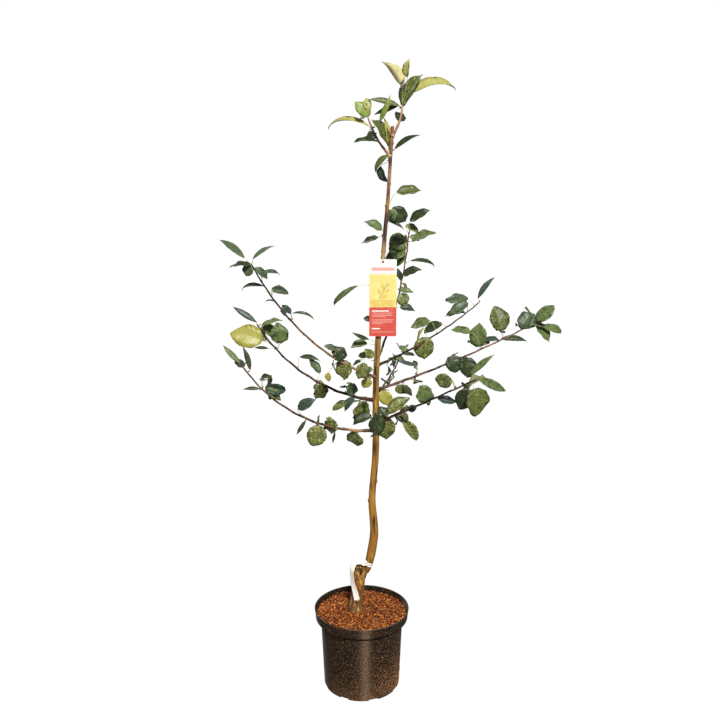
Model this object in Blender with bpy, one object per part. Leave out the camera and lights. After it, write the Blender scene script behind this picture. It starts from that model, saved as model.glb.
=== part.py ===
"""A young grafted pear tree in its nursery pot, 1.79 m tall, as separate named solids.

Metres, +Z up. The origin is the centre of the pot's flat underside, +X is to the viewer's
right and -Y is towards the viewer. The tree is a rootstock stub with the trunk grafted to
its side, nine boughs, two top shoots, and the masses of leaves that they carry. A hang tag
hangs from the trunk, and a loop label is threaded round the graft.
"""

import math
from collections import namedtuple

import bmesh
import bpy
import numpy as np
from mathutils import Matrix, Vector, noise

# A piece that touches another keeps this gap to it.
GAP = 0.0003

# The pot: a moulded ten-litre nursery container with a collar.
POT_HEIGHT = 0.240
POT_WALL = 0.0025
RIM_RADIUS = 0.140
COLLAR_HEIGHT = 0.031
COLLAR_FOOT_RADIUS = 0.1365
BODY_TOP_RADIUS = 0.1210
BASE_RADIUS = 0.112
BASE_CHAMFER = 0.004
COLLAR_BEVEL = 0.0025
LIP_BEVEL = 0.0010
POT_SEGMENTS = 48
DRAIN_COUNT = 8
DRAIN_WIDTH = 0.026
DRAIN_HEIGHT = 0.007
DRAIN_REACH = 0.010
DRAIN_TURN = math.radians(18)

# The compost: its surface lies a little under the rim.
COMPOST_TOP = 0.225
COMPOST_CLEARANCE = 0.0008
COMPOST_CROWN = 0.012
COMPOST_DROP = 0.003
DRAIN_CLEARANCE = 0.002

# The woody stem, as (height, place to the right, place to the back, diameter).
Station = namedtuple("Station", "height right back diameter")
STUB = (
    Station(COMPOST_TOP + GAP, -0.018, 0.012, 0.048),
    Station(0.240, -0.017, 0.012, 0.041),
    Station(0.282, -0.012, 0.012, 0.037),
    Station(0.364, -0.004, 0.012, 0.036),
)
STUB_STEP = 0.025
STEM = (
    Station(0.338, 0.014, 0.012, 0.016),
    Station(0.375, 0.022, 0.011, 0.024),
    Station(0.410, 0.029, 0.009, 0.026),
    Station(0.463, 0.036, 0.006, 0.0245),
    Station(0.573, 0.030, 0.000, 0.0209),
    Station(0.700, 0.039, -0.002, 0.0195),
    Station(0.950, 0.041, 0.000, 0.0177),
    Station(1.127, 0.051, 0.003, 0.0152),
    Station(1.306, 0.061, 0.003, 0.0117),
    Station(1.420, 0.070, 0.000, 0.0100),
    Station(1.619, 0.082, -0.001, 0.0086),
)
STEM_STEP = 0.042
STEM_SIDES = 10
CREASE_ANGLE = math.radians(40)

# Each bough: the height where it leaves the trunk, its compass direction counted from the
# right towards the back, its pitch there, how much it lifts by its tip, and its sizes.
Bough = namedtuple("Bough", "height direction pitch lift length base_diameter tip_diameter")
BOUGHS = {
    "bough_low_left": Bough(0.783, 198, 0.6, 57.8, 0.455, 0.0105, 0.0040),
    "bough_mid_left": Bough(0.871, 157, 0.0, 54.8, 0.447, 0.0090, 0.0038),
    "bough_high_left": Bough(0.937, 220, 20.1, 39.2, 0.531, 0.0090, 0.0038),
    "bough_low_right": Bough(0.805, 318, 26.3, 2.3, 0.379, 0.0090, 0.0040),
    "bough_mid_right": Bough(0.900, 12, 15.7, 9.5, 0.496, 0.0090, 0.0038),
    "bough_high_right": Bough(0.970, 48, 7.8, 14.3, 0.527, 0.0085, 0.0036),
    "bough_upright": Bough(0.985, 60, 43.7, 35.5, 0.411, 0.0080, 0.0036),
    "bough_back": Bough(0.885, 67, 12, 20, 0.235, 0.0065, 0.0036),
    "bough_front": Bough(0.835, 275, 8, 12, 0.115, 0.0060, 0.0036),
    "shoot_left": Bough(1.540, 185, 45, 28, 0.120, 0.0078, 0.0048),
    "shoot_right": Bough(1.592, 10, 55, 30, 0.083, 0.0082, 0.0055),
}
BOUGH_STEP = 0.040
BOUGH_SIDES = 7
FEWEST_STEPS = 4
BOUGH_TAPER = 0.55

# Each mass of leaves: where it sits along its bough, how far its middle lies outward from
# there in the bough's direction and up from there, and its length, depth and height.
Mass = namedtuple("Mass", "share out up length depth height")
MASSES = {
    "bough_low_left": (
        Mass(1.00, 0.027, 0.024, 0.080, 0.055, 0.075),
        Mass(0.80, 0.000, 0.000, 0.075, 0.055, 0.080),
        Mass(0.53, -0.015, 0.024, 0.055, 0.045, 0.045),
        Mass(0.38, 0.014, -0.032, 0.095, 0.050, 0.070),
    ),
    "bough_mid_left": (
        Mass(1.00, 0.060, 0.000, 0.100, 0.055, 0.110),
        Mass(0.86, -0.016, 0.015, 0.085, 0.055, 0.050),
        Mass(0.55, -0.012, 0.021, 0.065, 0.050, 0.045),
        Mass(0.37, 0.007, -0.017, 0.050, 0.050, 0.070),
        Mass(0.21, 0.002, -0.010, 0.060, 0.050, 0.080),
    ),
    "bough_high_left": (
        Mass(1.00, 0.017, 0.019, 0.135, 0.065, 0.085),
        Mass(0.83, 0.008, -0.006, 0.080, 0.060, 0.075),
        Mass(0.63, -0.013, 0.013, 0.055, 0.045, 0.040),
        Mass(0.25, 0.003, -0.005, 0.115, 0.060, 0.080),
    ),
    "bough_low_right": (
        Mass(1.00, 0.041, -0.012, 0.115, 0.065, 0.110),
        Mass(0.72, 0.013, -0.025, 0.070, 0.045, 0.050),
        Mass(0.33, 0.017, -0.034, 0.070, 0.050, 0.085),
    ),
    "bough_mid_right": (
        Mass(1.00, 0.019, 0.002, 0.150, 0.060, 0.105),
        Mass(0.75, -0.005, 0.011, 0.060, 0.045, 0.135),
        Mass(0.61, -0.018, 0.047, 0.070, 0.045, 0.055),
        Mass(0.50, 0.006, -0.017, 0.075, 0.055, 0.060),
        Mass(0.20, 0.016, -0.050, 0.095, 0.055, 0.080),
    ),
    "bough_high_right": (
        Mass(1.00, 0.030, 0.044, 0.050, 0.040, 0.085),
        Mass(0.76, -0.012, 0.034, 0.090, 0.055, 0.060),
        Mass(0.46, 0.000, 0.003, 0.090, 0.060, 0.095),
    ),
    "bough_upright": (
        Mass(1.00, 0.013, -0.013, 0.105, 0.075, 0.110),
        Mass(0.72, 0.042, -0.016, 0.075, 0.055, 0.050),
        Mass(0.52, 0.027, -0.014, 0.050, 0.045, 0.100),
    ),
    "bough_back": (
        Mass(1.00, 0.010, 0.012, 0.070, 0.075, 0.065),
        Mass(0.60, 0.009, -0.020, 0.055, 0.060, 0.050),
    ),
    "bough_front": (Mass(1.00, 0.026, -0.028, 0.050, 0.075, 0.070),),
    "shoot_left": (
        Mass(1.00, 0.020, 0.026, 0.050, 0.045, 0.055),
        Mass(0.70, 0.058, 0.010, 0.104, 0.045, 0.034),
        Mass(0.50, 0.002, -0.006, 0.064, 0.045, 0.072),
    ),
    "shoot_right": (
        Mass(1.00, 0.008, 0.018, 0.095, 0.055, 0.086),
        Mass(1.00, -0.016, 0.092, 0.065, 0.050, 0.062),
        Mass(1.00, 0.080, 0.042, 0.125, 0.045, 0.042),
    ),
}

# Masses that sit on the trunk itself: the height, how far they lie to the right and to the
# back of it, and their length, depth and thickness upwards.
TrunkMass = namedtuple("TrunkMass", "height right back length depth tall")
TRUNK_MASSES = (
    TrunkMass(0.855, -0.050, -0.030, 0.075, 0.060, 0.085),
    TrunkMass(1.020, -0.035, 0.022, 0.070, 0.060, 0.075),
    TrunkMass(1.190, -0.092, 0.010, 0.070, 0.040, 0.062),
    TrunkMass(1.345, -0.035, -0.005, 0.060, 0.045, 0.070),
    TrunkMass(1.410, 0.028, -0.006, 0.058, 0.050, 0.095),
    TrunkMass(1.500, -0.016, -0.004, 0.040, 0.040, 0.070),
    TrunkMass(1.568, 0.044, 0.000, 0.068, 0.045, 0.034),
)
MASS_UNEVENNESS = 0.16
MASS_GRAIN = 1.7
MASS_DETAIL = 2
SEEDS_PER_LIMB = 10
NOISE_STRIDE = Vector((7.3, 3.1, 1.0))

# The hang tag, a plastic card on a thread round the trunk.
TAG_WIDTH = 0.075
TAG_HEIGHT = 0.212
TAG_THICKNESS = 0.0010
TAG_TOP = 1.268
TAG_RIGHT = 0.058
TAG_FRONT = -0.0145
TAG_CORNER = 0.003
TAG_CORNER_STEPS = 3
TAG_CORNER_ROUNDNESS = 0.5
TAG_HOLE_RADIUS = 0.0035
TAG_HOLE_DROP = 0.007
TAG_HOLE_SIDES = 12
TAG_HOLE_CUT = 0.010
THREAD_RADIUS = 0.0007
THREAD_TOP = 1.288
THREAD_SLACK = 0.0020
THREAD_SPREAD = 0.020
THREAD_STEPS = 24

# The loop label, a plastic strap that hangs by the stub and passes over its cut top.
STRAP_WIDTH = 0.017
STRAP_THICKNESS = 0.0010
STRAP_CORE_DROP = 0.012
STRAP_RINGS = 22
STRAP_ROUTE = (
    (-0.0138, -0.0074, 0.2640),
    (-0.0183, -0.0080, 0.2880),
    (-0.0240, -0.0062, 0.3120),
    (-0.0284, -0.0045, 0.3420),
    (-0.0272, -0.0015, 0.3656),
    (-0.0197, -0.0010, 0.3800),
    (-0.0079, -0.0020, 0.3838),
    (0.0035, -0.0030, 0.3830),
    (0.0110, -0.0045, 0.3775),
)
# Between these heights the strap's face turns from the stub's side to this direction.
STRAP_FACE_TURN = (0.350, 0.376)
STRAP_FACE = Vector((0.0, -0.86, 0.51))

FINISHES = {
    "pot_plastic": ((0.021, 0.016, 0.013), 0.42),
    "compost": ((0.200, 0.075, 0.030), 0.95),
    "bark": ((0.240, 0.140, 0.055), 0.80),
    "twig_bark": ((0.210, 0.105, 0.060), 0.70),
    "leaf": ((0.080, 0.150, 0.050), 0.55),
    "tag_card": ((0.720, 0.520, 0.250), 0.45),
    "thread": ((0.700, 0.640, 0.420), 0.80),
    "label_plastic": ((0.850, 0.820, 0.720), 0.50),
}


def material(name):
    """A Principled material with one of the object's own colours and its roughness."""
    found = bpy.data.materials.get(name)
    if found:
        return found
    colour, roughness = FINISHES[name]
    made = bpy.data.materials.new(name)
    made.use_nodes = True
    shader = made.node_tree.nodes["Principled BSDF"]
    shader.inputs["Base Color"].default_value = (*colour, 1)
    shader.inputs["Roughness"].default_value = roughness
    shader.inputs["Metallic"].default_value = 0
    made.diffuse_color = (*colour, 1)
    return made


def add_object(name, mesh, finish, smooth=True):
    """Links a named object for the mesh, with its material."""
    obj = bpy.data.objects.new(name, mesh)
    bpy.context.scene.collection.objects.link(obj)
    if finish:
        mesh.materials.append(material(finish))
    if smooth:
        mesh.shade_smooth()
        mesh.set_sharp_from_angle(angle=CREASE_ANGLE)
    return obj


def mesh_of(name, points, faces):
    """A mesh from points and faces, with its faces turned to point outwards."""
    mesh = bpy.data.meshes.new(name)
    mesh.from_pydata([tuple(point) for point in points], [], faces)
    work = bmesh.new()
    work.from_mesh(mesh)
    bmesh.ops.recalc_face_normals(work, faces=work.faces)
    work.to_mesh(mesh)
    work.free()
    return mesh


def helper(obj):
    """Marks an object that only cuts another, so that it is neither rendered nor built."""
    obj.hide_render = True
    obj.display_type = "WIRE"
    return obj


def cut(obj, *cutters):
    """Takes each cutter's volume out of the object."""
    for cutter in cutters:
        modifier = obj.modifiers.new("cut_" + cutter.name, "BOOLEAN")
        modifier.operation = "DIFFERENCE"
        modifier.object = cutter


def turned(name, profile, segments):
    """A closed body turned about the Z axis from (radius, height) points, axis to axis."""
    points, rings = [], []
    for radius, height in profile:
        count = segments if radius > 0 else 1
        rings.append(range(len(points), len(points) + count))
        angles = 2 * math.pi * np.arange(count) / count
        points += [(radius * math.cos(a), radius * math.sin(a), height) for a in angles]
    faces = []
    for lower, upper in zip(rings, rings[1:]):
        for i in range(segments):
            j = (i + 1) % segments
            corners = (
                lower[i % len(lower)],
                lower[j % len(lower)],
                upper[j % len(upper)],
                upper[i % len(upper)],
            )
            faces.append(tuple(dict.fromkeys(corners)))
    return mesh_of(name, points, faces)


def smooth_values(at, places, values):
    """Values read from a cubic through the given places, whose slopes are their mean slopes."""
    places, values = np.asarray(places, float), np.asarray(values, float)
    slopes = np.gradient(values, places)
    i = np.clip(np.searchsorted(places, at) - 1, 0, len(places) - 2)
    span = places[i + 1] - places[i]
    t = (at - places[i]) / span
    start = (1 + 2 * t) * (1 - t) ** 2 * values[i] + t * (1 - t) ** 2 * span * slopes[i]
    end = t * t * (3 - 2 * t) * values[i + 1] + t * t * (t - 1) * span * slopes[i + 1]
    return start + end


def stem_at(heights, stations):
    """Centre points and diameters of a stem at the given heights."""
    places = [station.height for station in stations]
    across = smooth_values(heights, places, [station.right for station in stations])
    back = smooth_values(heights, places, [station.back for station in stations])
    diameters = smooth_values(heights, places, [station.diameter for station in stations])
    return np.column_stack([across, back, heights]), diameters


def tube(name, centres, diameters, sides, level_foot=False):
    """A closed tapering tube along the centres. Its rings keep one side turned the same way."""
    tangents = np.gradient(centres, axis=0)
    if level_foot:
        tangents[0] = (0, 0, 1)
    points = []
    aside = Vector((0, 1, 0))
    for centre, tangent, diameter in zip(centres, tangents, diameters):
        ahead = Vector(tangent).normalized()
        aside = (aside - ahead * aside.dot(ahead)).normalized()
        across = ahead.cross(aside)
        for turn in range(sides):
            angle = 2 * math.pi * turn / sides
            spoke = aside * math.cos(angle) + across * math.sin(angle)
            points.append(Vector(centre) + spoke * diameter / 2)
    last = (len(centres) - 1) * sides
    faces = [tuple(range(sides)), tuple(range(last, last + sides))]
    for ring in range(len(centres) - 1):
        for turn in range(sides):
            a = ring * sides + turn
            b = ring * sides + (turn + 1) % sides
            faces.append((a, b, b + sides, a + sides))
    return mesh_of(name, points, faces)


def bough_route(bough):
    """Centre points of a bough from the trunk's axis, each step pitched up a little more."""
    steps = max(FEWEST_STEPS, round(bough.length / BOUGH_STEP))
    shares = (np.arange(steps) + 0.5) / steps
    pitch = np.radians(bough.pitch + bough.lift * shares)
    direction = math.radians(bough.direction)
    stride = bough.length / steps
    outward = np.append(0, np.cumsum(np.cos(pitch))) * stride
    upward = np.append(0, np.cumsum(np.sin(pitch))) * stride
    start = stem_at(np.array([bough.height]), STEM)[0][0]
    aim = np.array([math.cos(direction), math.sin(direction), 0])
    return start + outward[:, None] * aim + upward[:, None] * (0, 0, 1)


def bough_diameters(bough, count, extra=0.0):
    """Diameters that narrow quickly past the collar and evenly after it."""
    shares = np.linspace(0, 1, count)
    narrowing = (bough.tip_diameter - bough.base_diameter) * shares**BOUGH_TAPER
    return bough.base_diameter + narrowing + extra


def make_pot():
    """The pot: a turned shell with a collar, and drain slots round its lower edge."""
    collar_foot = POT_HEIGHT - COLLAR_HEIGHT
    profile = (
        (0, 0),
        (BASE_RADIUS - BASE_CHAMFER, 0),
        (BASE_RADIUS, BASE_CHAMFER),
        (BODY_TOP_RADIUS, collar_foot - COLLAR_BEVEL),
        (COLLAR_FOOT_RADIUS - COLLAR_BEVEL, collar_foot),
        (COLLAR_FOOT_RADIUS, collar_foot + COLLAR_BEVEL),
        (RIM_RADIUS - LIP_BEVEL / 2, POT_HEIGHT - 2 * LIP_BEVEL),
        (RIM_RADIUS - LIP_BEVEL, POT_HEIGHT),
        (RIM_RADIUS - POT_WALL, POT_HEIGHT),
        (COLLAR_FOOT_RADIUS - POT_WALL, collar_foot + COLLAR_BEVEL),
        (BODY_TOP_RADIUS - POT_WALL, collar_foot),
        (BASE_RADIUS - POT_WALL, BASE_CHAMFER + POT_WALL),
        (0, BASE_CHAMFER + POT_WALL),
    )
    pot = add_object("pot", turned("pot", profile, POT_SEGMENTS), "pot_plastic")
    work = bmesh.new()
    for number in range(DRAIN_COUNT):
        angle = -math.pi / 2 + DRAIN_TURN + number * 2 * math.pi / DRAIN_COUNT
        turn = Matrix.Rotation(angle, 4, "Z")
        place = Matrix.Translation((BASE_RADIUS, 0, 0))
        size = Matrix.Diagonal((2 * DRAIN_REACH, DRAIN_WIDTH, 2 * DRAIN_HEIGHT, 1))
        bmesh.ops.create_cube(work, size=1, matrix=turn @ place @ size)
    slots = bpy.data.meshes.new("drain_slots")
    work.to_mesh(slots)
    work.free()
    cut(pot, helper(add_object("drain_slots", slots, None, smooth=False)))


def make_compost():
    """The compost: a plug that fills the pot to just under its rim, crowned a little."""
    inner = POT_WALL + COMPOST_CLEARANCE
    collar_foot = POT_HEIGHT - COLLAR_HEIGHT
    floor = BASE_CHAMFER + POT_WALL + GAP
    rise = (COMPOST_TOP - collar_foot) / COLLAR_HEIGHT
    edge = COLLAR_FOOT_RADIUS + (RIM_RADIUS - COLLAR_FOOT_RADIUS) * rise - inner
    profile = (
        (0, floor),
        (BASE_RADIUS - DRAIN_REACH - DRAIN_CLEARANCE, floor),
        (BASE_RADIUS - inner, floor + DRAIN_HEIGHT + DRAIN_CLEARANCE),
        (BODY_TOP_RADIUS - inner, collar_foot),
        (COLLAR_FOOT_RADIUS - inner - COMPOST_CLEARANCE, collar_foot + 2 * COLLAR_BEVEL),
        (edge - COMPOST_CLEARANCE, COMPOST_TOP - COMPOST_DROP),
        (edge - COMPOST_CROWN, COMPOST_TOP),
        (0, COMPOST_TOP),
    )
    add_object("compost", turned("compost", profile, POT_SEGMENTS), "compost")


def stem_tube(name, stations, step, extra, level_foot):
    """One run of the woody stem as a tube, with rings about a step apart."""
    count = 1 + round((stations[-1].height - stations[0].height) / step)
    heights = np.linspace(stations[0].height, stations[-1].height, count)
    centres, diameters = stem_at(heights, stations)
    return tube(name, centres, diameters + extra, STEM_SIDES, level_foot)


def make_trunk():
    """The trunk: the rootstock stub joined with the grafted stem. Returns the stem's clearance."""
    trunk = add_object("trunk", stem_tube("trunk", STEM, STEM_STEP, 0, False), "bark")
    stub = add_object("stub", stem_tube("stub", STUB, STUB_STEP, 0, True), None)
    joint = trunk.modifiers.new("graft", "BOOLEAN")
    joint.operation = "UNION"
    joint.object = helper(stub)
    around_stem = stem_tube("around_stem", STEM, STEM_STEP, 2 * GAP, False)
    return helper(add_object("around_stem", around_stem, None))


def make_bough(name, bough, around_stem):
    """One tapering limb, let into the trunk's side. Returns the clearance round it."""
    route = bough_route(bough)
    limb = tube(name, route, bough_diameters(bough, len(route)), BOUGH_SIDES)
    cut(add_object(name, limb, "twig_bark"), around_stem)
    wide = bough_diameters(bough, len(route), 2 * GAP)
    ahead = route[-1] - route[-2]
    route[-1] += GAP * ahead / np.linalg.norm(ahead)
    around = tube("around_" + name, route, wide, BOUGH_SIDES)
    return helper(add_object("around_" + name, around, None))


def uneven_mass(name, centre, turn, size, anchor, seed):
    """A closed uneven blob of the given size, drawn out at one point to where it hangs."""
    work = bmesh.new()
    bmesh.ops.create_icosphere(work, subdivisions=MASS_DETAIL, radius=1)
    place = Matrix.Translation(centre) @ Matrix.Rotation(turn, 4, "Z")
    half = Vector(size) / 2
    to_anchor = place.inverted() @ Vector(anchor)
    reach = Vector([to_anchor[i] / half[i] for i in range(3)])
    for vertex in work.verts:
        bump = noise.noise(vertex.co * MASS_GRAIN + seed * NOISE_STRIDE)
        vertex.co *= 1 + MASS_UNEVENNESS * bump
    if reach.length > 1:
        nearest = max(work.verts, key=lambda vertex: vertex.co.dot(reach))
        nearest.co = reach
    for vertex in work.verts:
        vertex.co = place @ Vector([vertex.co[i] * half[i] for i in range(3)])
    mesh = bpy.data.meshes.new(name)
    work.to_mesh(mesh)
    work.free()
    return add_object(name, mesh, "leaf")


def grown(obj):
    """A copy of a mass, a gap larger all round, that keeps its neighbours off it."""
    work = bmesh.new()
    work.from_mesh(obj.data)
    work.normal_update()
    for vertex in work.verts:
        vertex.co += vertex.normal * 2 * GAP
    mesh = bpy.data.meshes.new("around_" + obj.name)
    work.to_mesh(mesh)
    work.free()
    return helper(add_object("around_" + obj.name, mesh, None))


def make_bough_masses(bough_name, cutters, seed):
    """The masses of one bough, each cut round the wood and round the one made before it."""
    bough = BOUGHS[bough_name]
    route = bough_route(bough)
    direction = math.radians(bough.direction)
    aim = np.array([math.cos(direction), math.sin(direction), 0])
    name = bough_name.replace("bough_", "").replace("shoot", "top")
    for number, mass in enumerate(MASSES[bough_name], 1):
        along = mass.share * (len(route) - 1)
        anchor = np.array([np.interp(along, range(len(route)), axis) for axis in route.T])
        centre = anchor + mass.out * aim + (0, 0, mass.up)
        size = (mass.length, mass.depth, mass.height)
        blob = uneven_mass(
            f"leaves_{name}_{number}", centre, direction, size, anchor, seed + number
        )
        cut(blob, *cutters)
        cutters = (*cutters, grown(blob))


def make_trunk_masses(around_stem, seed):
    """The masses that sit on the trunk itself."""
    for number, mass in enumerate(TRUNK_MASSES, 1):
        anchor = stem_at(np.array([mass.height]), STEM)[0][0]
        centre = anchor + (mass.right, mass.back, 0)
        size = (mass.length, mass.depth, mass.tall)
        blob = uneven_mass(f"leaves_trunk_{number}", centre, 0, size, anchor, seed + number)
        cut(blob, around_stem)


def make_tag():
    """The hang tag: a thin card with round corners and a punched hole."""
    work = bmesh.new()
    size = Matrix.Diagonal((TAG_WIDTH, TAG_THICKNESS, TAG_HEIGHT, 1))
    middle = Matrix.Translation((TAG_RIGHT, TAG_FRONT, TAG_TOP - TAG_HEIGHT / 2))
    bmesh.ops.create_cube(work, size=1, matrix=middle @ size)
    corners = [e for e in work.edges if abs((e.verts[0].co - e.verts[1].co).y) > TAG_THICKNESS / 2]
    bmesh.ops.bevel(
        work,
        geom=corners,
        offset=TAG_CORNER,
        segments=TAG_CORNER_STEPS,
        profile=TAG_CORNER_ROUNDNESS,
        affect="EDGES",
    )
    mesh = bpy.data.meshes.new("hang_tag")
    work.to_mesh(mesh)
    work.free()
    tag = add_object("hang_tag", mesh, "tag_card")
    work = bmesh.new()
    place = Matrix.Translation((TAG_RIGHT, TAG_FRONT, TAG_TOP - TAG_HOLE_DROP))
    bmesh.ops.create_cone(
        work,
        cap_ends=True,
        segments=TAG_HOLE_SIDES,
        radius1=TAG_HOLE_RADIUS,
        radius2=TAG_HOLE_RADIUS,
        depth=TAG_HOLE_CUT,
        matrix=place @ Matrix.Rotation(math.pi / 2, 4, "X"),
    )
    hole = bpy.data.meshes.new("tag_hole")
    work.to_mesh(hole)
    work.free()
    cut(tag, helper(add_object("tag_hole", hole, None)))


def make_thread():
    """The tag's thread: one loop round the trunk whose lowest point goes through the hole."""
    centres, diameters = stem_at(np.array([THREAD_TOP]), STEM)
    trunk_right, trunk_back, _ = centres[0]
    trunk_diameter = diameters[0]
    radius = trunk_diameter / 2 + THREAD_RADIUS + THREAD_SLACK
    hung = TAG_TOP - TAG_HOLE_DROP + TAG_HOLE_RADIUS - THREAD_RADIUS - GAP
    angles = 2 * math.pi * np.arange(THREAD_STEPS) / THREAD_STEPS
    dip = np.clip(-np.sin(angles), 0, 1) ** 3
    ring_right = trunk_right + radius * np.cos(angles)
    ring_back = trunk_back - THREAD_SLACK + 2 * GAP + radius * np.sin(angles)
    right = ring_right + (TAG_RIGHT - ring_right) * dip
    back = ring_back + (TAG_FRONT - ring_back) * dip - THREAD_SPREAD * np.cos(angles) * dip
    height = THREAD_TOP + (hung - THREAD_TOP) * dip
    curve = bpy.data.curves.new("tag_thread", "CURVE")
    curve.dimensions = "3D"
    curve.bevel_depth = THREAD_RADIUS
    curve.bevel_resolution = 0
    spline = curve.splines.new("POLY")
    spline.points.add(THREAD_STEPS - 1)
    for point, place in zip(spline.points, zip(right, back, height)):
        point.co = (*place, 1)
    spline.use_cyclic_u = True
    curve.materials.append(material("thread"))
    thread = bpy.data.objects.new("tag_thread", curve)
    bpy.context.scene.collection.objects.link(thread)


def make_loop_label():
    """The loop label: a strap that hangs along the stub's front left and bends over its top."""
    stops = range(len(STRAP_ROUTE))
    at = np.linspace(0, stops[-1], STRAP_RINGS)
    places = np.column_stack([smooth_values(at, stops, axis) for axis in zip(*STRAP_ROUTE)])
    points = []
    for place, ahead in zip(map(Vector, places), map(Vector, np.gradient(places, axis=0))):
        level = np.array([min(place.z, STUB[-1].height - STRAP_CORE_DROP)])
        core = Vector(stem_at(level, STUB)[0][0])
        low, high = STRAP_FACE_TURN
        turned_share = min(max((place.z - low) / (high - low), 0), 1)
        face = (place - core).normalized().lerp(STRAP_FACE, turned_share)
        across = face.cross(ahead).normalized()
        outward = ahead.cross(across).normalized()
        for side in (-1, 1):
            for depth in (0, STRAP_THICKNESS):
                points.append(place + across * side * STRAP_WIDTH / 2 + outward * depth)
    faces = [(0, 1, 3, 2), tuple(4 * (STRAP_RINGS - 1) + i for i in (0, 1, 3, 2))]
    for ring in range(0, 4 * (STRAP_RINGS - 1), 4):
        for a, b in ((0, 1), (1, 3), (0, 2), (2, 3)):
            faces.append((ring + a, ring + b, ring + 4 + b))
            faces.append((ring + a, ring + 4 + b, ring + 4 + a))
    add_object("loop_label", mesh_of("loop_label", points, faces), "label_plastic")


def clear_scene():
    """Removes the objects of the opening scene."""
    for obj in list(bpy.data.objects):
        bpy.data.objects.remove(obj, do_unlink=True)


clear_scene()
make_pot()
make_compost()
around_stem = make_trunk()
for number, (name, bough) in enumerate(BOUGHS.items()):
    around_bough = make_bough(name, bough, around_stem)
    make_bough_masses(name, (around_bough, around_stem), SEEDS_PER_LIMB * number)
make_trunk_masses(around_stem, SEEDS_PER_LIMB * len(BOUGHS))
make_tag()
make_thread()
make_loop_label()
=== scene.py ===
"""Looks of a young grafted pear tree in its nursery pot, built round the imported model.

Everything is in metres, +Z up, with the viewer at -Y. The pieces follow the tree from the
pot upwards: camera and light, pot, compost, stub and trunk, boughs, leaves, tag and label.
"""

import math
from collections import namedtuple

import bpy
import numpy as np
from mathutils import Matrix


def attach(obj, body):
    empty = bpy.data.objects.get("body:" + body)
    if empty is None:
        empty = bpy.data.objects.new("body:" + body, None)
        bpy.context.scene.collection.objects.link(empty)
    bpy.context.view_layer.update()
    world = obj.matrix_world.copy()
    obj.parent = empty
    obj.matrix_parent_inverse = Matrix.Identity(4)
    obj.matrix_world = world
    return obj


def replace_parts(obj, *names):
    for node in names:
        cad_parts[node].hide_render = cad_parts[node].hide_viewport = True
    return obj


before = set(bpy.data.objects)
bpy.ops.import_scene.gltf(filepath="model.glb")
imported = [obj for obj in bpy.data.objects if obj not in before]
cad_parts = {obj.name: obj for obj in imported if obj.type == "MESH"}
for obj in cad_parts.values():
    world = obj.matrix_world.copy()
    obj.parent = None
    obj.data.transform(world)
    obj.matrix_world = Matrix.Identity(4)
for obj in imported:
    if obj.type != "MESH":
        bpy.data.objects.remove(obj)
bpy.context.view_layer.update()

# The camera stands 2.2 m in front of the tree at a grown man's eye height over the bench,
# and looks down a little. The view of the photograph is 720 pixels square.
PHOTO_SIDE = 720
FOCAL_PIXELS = 805
OPTICAL_COLUMN = 361.7
CAMERA_DISTANCE = 2.218
CAMERA_HEIGHT = 1.407
CAMERA_TILT = math.radians(10.74)
SENSOR_WIDTH = 36.0

camera_data = bpy.data.cameras.new("camera")
camera_data.sensor_width = SENSOR_WIDTH
camera_data.lens = FOCAL_PIXELS / PHOTO_SIDE * SENSOR_WIDTH
camera_data.shift_x = (PHOTO_SIDE / 2 - OPTICAL_COLUMN) / PHOTO_SIDE
camera = bpy.data.objects.new("camera", camera_data)
camera.location = (0, -CAMERA_DISTANCE, CAMERA_HEIGHT)
camera.rotation_euler = (math.pi / 2 - CAMERA_TILT, 0, 0)
bpy.context.scene.collection.objects.link(camera)
bpy.context.scene.camera = camera
bpy.context.scene.view_settings.view_transform = "Standard"

# Soft light as in a studio: a broad key from the front, a little to the right and high, and
# a faint one from behind on the left. The room and the floor look plain white, and light the
# tree only faintly, so that the shaded sides stay deep.
KEY_LIGHT = {"azimuth": -79, "elevation": 42, "strength": 4.6, "spread": 7}
BACK_LIGHT = {"azimuth": 118, "elevation": 35, "strength": 1.0, "spread": 20}
ROOM_SEEN = 1.0
ROOM_LIGHT = 0.26
FLOOR_SIDE = 40.0
FLOOR_SEEN = 0.0
FLOOR_BOUNCE = 0.20
FLOOR_GLOW = 1.0


def add_sun(name, azimuth, elevation, strength, spread):
    """A distant lamp in the given direction, in degrees from +X and from the floor."""
    data = bpy.data.lights.new(name, "SUN")
    data.energy = strength
    data.angle = math.radians(spread)
    lamp = bpy.data.objects.new(name, data)
    lamp.rotation_euler = (math.radians(90 - elevation), 0, math.radians(azimuth + 90))
    bpy.context.scene.collection.objects.link(lamp)


add_sun("key_light", **KEY_LIGHT)
add_sun("back_light", **BACK_LIGHT)


def seen_or_bounced(tree, seen, bounced):
    """A socket that holds one number for the camera's rays and another for all the rest."""
    path = tree.nodes.new("ShaderNodeLightPath")
    chosen = tree.nodes.new("ShaderNodeMapRange")
    chosen.inputs["To Min"].default_value = bounced
    chosen.inputs["To Max"].default_value = seen
    tree.links.new(path.outputs["Is Camera Ray"], chosen.inputs["Value"])
    return chosen.outputs["Result"]


room = bpy.data.worlds.new("pale_room")
bpy.context.scene.world = room
room.use_nodes = True
background = room.node_tree.nodes["Background"]
background.inputs["Color"].default_value = (1, 1, 1, 1)
room.node_tree.links.new(
    seen_or_bounced(room.node_tree, ROOM_SEEN, ROOM_LIGHT), background.inputs["Strength"]
)


def new_material(name, colour, roughness):
    """A material with its Principled shader set. Returns the material and the shader."""
    made = bpy.data.materials.new(name)
    made.use_nodes = True
    shader = made.node_tree.nodes["Principled BSDF"]
    shader.inputs["Base Color"].default_value = (*colour, 1)
    shader.inputs["Roughness"].default_value = roughness
    return made, shader


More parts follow.
